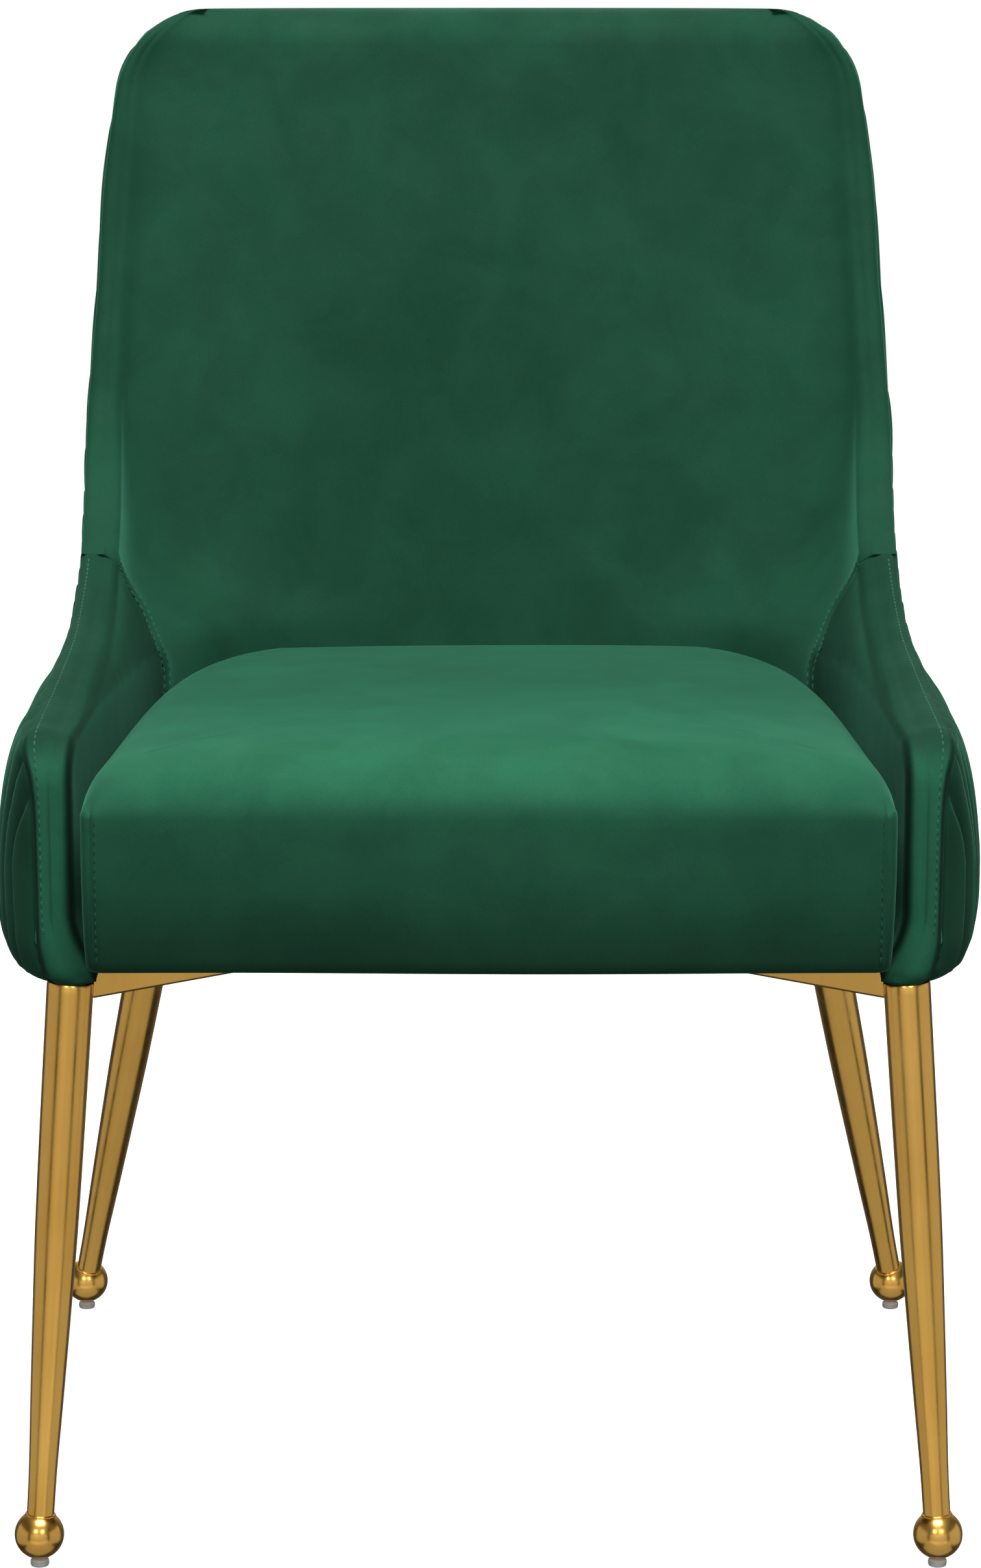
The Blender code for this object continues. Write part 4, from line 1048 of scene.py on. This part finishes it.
def ring_of(name, profile, start, end, facets=56):
    """A turned band, open at both ends."""
    faces = grid_faces(len(profile), facets, around=True)
    return made_of(name, swept(profile, start, end, facets), faces, GOLD, angle=None)


def base_points(node_leg, node_ball):
    """Axis of a leg: its upper end, and its ball's centre from the CAD's glide and ball."""
    low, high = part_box(node_leg)
    ball_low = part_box(node_ball)[0]
    side = 1.0 if low.x + high.x > 0 else -1.0
    glide_low, glide_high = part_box(node_ball.replace("ball_foot", "glide"))
    foot = Vector(((glide_low.x + glide_high.x) / 2, (glide_low.y + glide_high.y) / 2, ball_low.z + BALL_R))
    across, behind, height = HIP_FRONT if ball_low.y < 0 else HIP_REAR
    return Vector((side * across, FRONT_Y + behind, height)), foot


def gold_legs():
    for end in ("front", "rear"):
        for hand in ("left", "right"):
            tag = f"{end}_{hand}"
            hip, foot = base_points(f"leg_{tag}", f"ball_foot_{tag}")
            axis = (hip - foot).length
            reach = axis - math.sqrt(BALL_R**2 - LEG_TAPER[-1][1] ** 2) + 0.0004
            tube = [(0.0006, 0.0), (0.0115, 0.0), (0.0130, 0.0006), (0.0134, 0.0018)]
            tube += [(float(smooth(LEG_TAPER, t)), t * reach) for t in np.linspace(0.02, 1.0, 40)]
            tube += [(0.0070, reach + 0.0002)]
            leg = turned(f"gold_leg_{tag}", tube, hip, foot, GOLD)
            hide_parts(f"leg_{tag}")
            ball = [(max(BALL_R * math.sin(a), 0.0004), axis - BALL_R * math.cos(a))
                    for a in np.radians(np.linspace(2, 178, 45))]
            sphere = turned(f"gold_ball_{tag}", ball, hip, foot, GOLD, facets=64)
            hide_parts(f"ball_foot_{tag}")
            ring = []
            for a in np.radians(np.linspace(0, 360, 15)[:-1]):
                ring.append((COLLAR_R + COLLAR_THICK * math.cos(a),
                             reach - 0.0003 + COLLAR_THICK * math.sin(a)))
            ring.append(ring[0])
            collar = ring_of(f"gold_collar_{tag}", ring, hip, foot)
            collar.parent = leg
            drum = [(0.0008, 0.0), (GLIDE_R - 0.0011, 0.0), (GLIDE_R - 0.0004, 0.0003),
                    (GLIDE_R - 0.0001, 0.0010), (GLIDE_R, 0.0020),
                    (GLIDE_R - 0.0001, GLIDE_H - 0.0005), (GLIDE_R - 0.0006, GLIDE_H),
                    (0.0028, GLIDE_H), (0.0028, GLIDE_H + 0.0050)]
            ground = Vector((foot.x, foot.y, 0.0))
            above = ground + Vector((0, 0.0001, 1)).normalized()
            glide = turned(f"pale_glide_{tag}", drum, ground, above, PALE, facets=40)
            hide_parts(f"glide_{tag}")


# ---------------------------------------------------------------- finishes of the CAD pieces that show
def finish_nodes():
    rules = (("cross_bar", GOLD), ("mounting_plate", ZINC), ("bolt", ZINC), ("webbing", JUTE),
             ("side_board", PLY), ("back_board", PLY), ("seat_dust", CAMBRIC), ("shell_dust", CAMBRIC),
             ("leg", GOLD), ("ball_foot", GOLD), ("glide", PALE), ("outer_cover", OUTER_VELVET),
             ("arm_band", INNER_VELVET), ("side_pad", INNER_VELVET), ("back_pad", INNER_VELVET),
             ("seat_cushion", SEAT_VELVET))
    for name, node in NODES.items():
        finish = next((m for start, m in rules if name.startswith(start)), TIMBER)
        node.data.materials.clear()
        node.data.materials.append(finish)


# ---------------------------------------------------------------- studio
CAMERA_AWAY = 2.730               # from the chair's front
CAMERA_HEIGHT = 1.0007
CAMERA_DOWN = 11.212              # degrees below level
# brightness of the surroundings by height, in red and green, then in blue; the last one is straight overhead
AIR_UP = ((0.0, 0.03, 0.03 * 1.01), (0.44, 0.24, 0.24 * 1.01), (0.56, 0.52, 0.52 * 1.01),
          (1.0, 0.48, 0.48 * 1.01), (1.0, 1.0, 1.0))
# and from left to right
AIR_ACROSS = ((0.0, 0.30, 0.30), (0.15, 0.20, 0.20), (0.32, 0.90, 0.90), (0.44, 1.20, 1.20),
              (0.60, 0.75, 0.75), (0.70, 0.95, 0.95), (0.86, 0.22, 0.22), (1.0, 0.32, 0.32))


def floor():
    finish = Nodes("pale_floor")
    haze = finish.ramp(finish.noise(0.7, 2.0), (0.3, 0.93), (0.7, 0.96))
    finish.set(Base_Color=haze, Roughness=0.9, Specular_IOR_Level=0.0,
               Emission_Color=(1.0, 1.0, 1.0, 1.0), Emission_Strength=0.80)
    bm = bmesh.new()
    bmesh.ops.create_circle(bm, cap_ends=True, segments=96, radius=60.0)
    mesh = bpy.data.meshes.new("floor")
    bm.to_mesh(mesh)
    bm.free()
    mesh.materials.append(finish.material)
    ground = bpy.data.objects.new("floor", mesh)
    bpy.context.scene.collection.objects.link(ground)
    ground.visible_diffuse = False
    ground.visible_glossy = False
    ground.visible_shadow = False


def banded(tree, coordinate, stops):
    """Grey levels along one coordinate of the direction, which runs from -1 to 1."""
    ramp = tree.nodes.new("ShaderNodeValToRGB")
    while len(ramp.color_ramp.elements) < len(stops):
        ramp.color_ramp.elements.new(0.5)
    for element, (position, level, blue) in zip(ramp.color_ramp.elements, stops):
        element.position = position
        element.color = (level, level, blue, 1.0)
    shift = tree.nodes.new("ShaderNodeMath")
    shift.operation = "MULTIPLY_ADD"
    shift.inputs[1].default_value = 0.5
    shift.inputs[2].default_value = 0.5
    tree.links.new(coordinate, shift.inputs[0])
    tree.links.new(shift.outputs[0], ramp.inputs["Fac"])
    return ramp.outputs["Color"]


def air():
    """Grey surroundings: darker below, and banded from left to right for the metal to show."""
    world = bpy.data.worlds.new("studio_air")
    world.use_nodes = True
    bpy.context.scene.world = world
    tree = world.node_tree
    place = tree.nodes.new("ShaderNodeTexCoord")
    split = tree.nodes.new("ShaderNodeSeparateXYZ")
    tree.links.new(place.outputs["Generated"], split.inputs[0])
    height = banded(tree, split.outputs["Z"], AIR_UP)
    side = banded(tree, split.outputs["X"], AIR_ACROSS)
    mix = tree.nodes.new("ShaderNodeMix")
    mix.data_type = "RGBA"
    mix.blend_type = "MULTIPLY"
    mix.inputs["Factor"].default_value = 1.0
    tree.links.new(height, mix.inputs["A"])
    tree.links.new(side, mix.inputs["B"])
    background = tree.nodes["Background"]
    background.inputs["Strength"].default_value = 0.85
    tree.links.new(mix.outputs["Result"], background.inputs["Color"])


def lamp(name, place_at, aim, size, power, for_metal=False):
    """A rectangular lamp; one for the metal shows in reflections and lights no cloth."""
    data = bpy.data.lights.new(name, "AREA")
    data.shape = "RECTANGLE"
    data.size, data.size_y = size
    data.energy = power
    made = bpy.data.objects.new(name, data)
    made.location = place_at
    made.rotation_euler = (Vector(aim) - Vector(place_at)).to_track_quat("-Z", "Y").to_euler()
    made.visible_diffuse = not for_metal
    bpy.context.scene.collection.objects.link(made)


def camera():
    eye = bpy.data.objects.new("camera", bpy.data.cameras.new("camera"))
    eye.data.sensor_fit = "AUTO"
    eye.data.sensor_width = 36.0
    eye.data.lens = 114.27
    eye.data.shift_x = 0.0012
    eye.location = (0.0, FRONT_Y - CAMERA_AWAY, CAMERA_HEIGHT)
    eye.rotation_euler = (math.radians(90 - CAMERA_DOWN), 0.0, 0.0)
    bpy.context.scene.collection.objects.link(eye)
    bpy.context.scene.camera = eye


def studio():
    floor()
    air()
    lamp("key", (0.1, -1.25, 3.1), (0, -0.1, 0.45), (1.5, 1.0), 92)
    lamp("front_right", (1.0, -3.4, 1.9), (0, 0, 0.45), (0.7, 0.7), 15)
    lamp("front_left", (-1.0, -3.4, 1.9), (0, 0, 0.45), (0.7, 0.7), 13)
    lamp("card_front", (0.0, -4.2, -0.4), (0, 0, 0.0), (6.5, 3.6), 28, for_metal=True)
    lamp("card_right", (3.6, -0.4, -0.4), (0, 0, 0.0), (5.0, 3.6), 26, for_metal=True)
    lamp("card_left", (-3.6, -0.4, -0.4), (0, 0, 0.0), (5.0, 3.6), 24, for_metal=True)
    lamp("card_low", (0.0, -1.8, -2.6), (0, 0, 0.2), (7.0, 5.0), 42, for_metal=True)
    lamp("behind", (0.0, 2.8, 2.2), (0, 0, 0.6), (2.4, 1.2), 26)
    camera()
    bpy.context.scene.view_settings.view_transform = "Standard"


def main():
    finish_nodes()
    side_velvet("side_velvet_left", 1.0, ("side_pad_left", "arm_band_left"))
    side_velvet("side_velvet_right", -1.0, ("side_pad_right", "arm_band_right"))
    back_velvet()
    pleated_cover()
    seat_cushion()
    gold_legs()
    studio()


main()
bpy.context.view_layer.update()
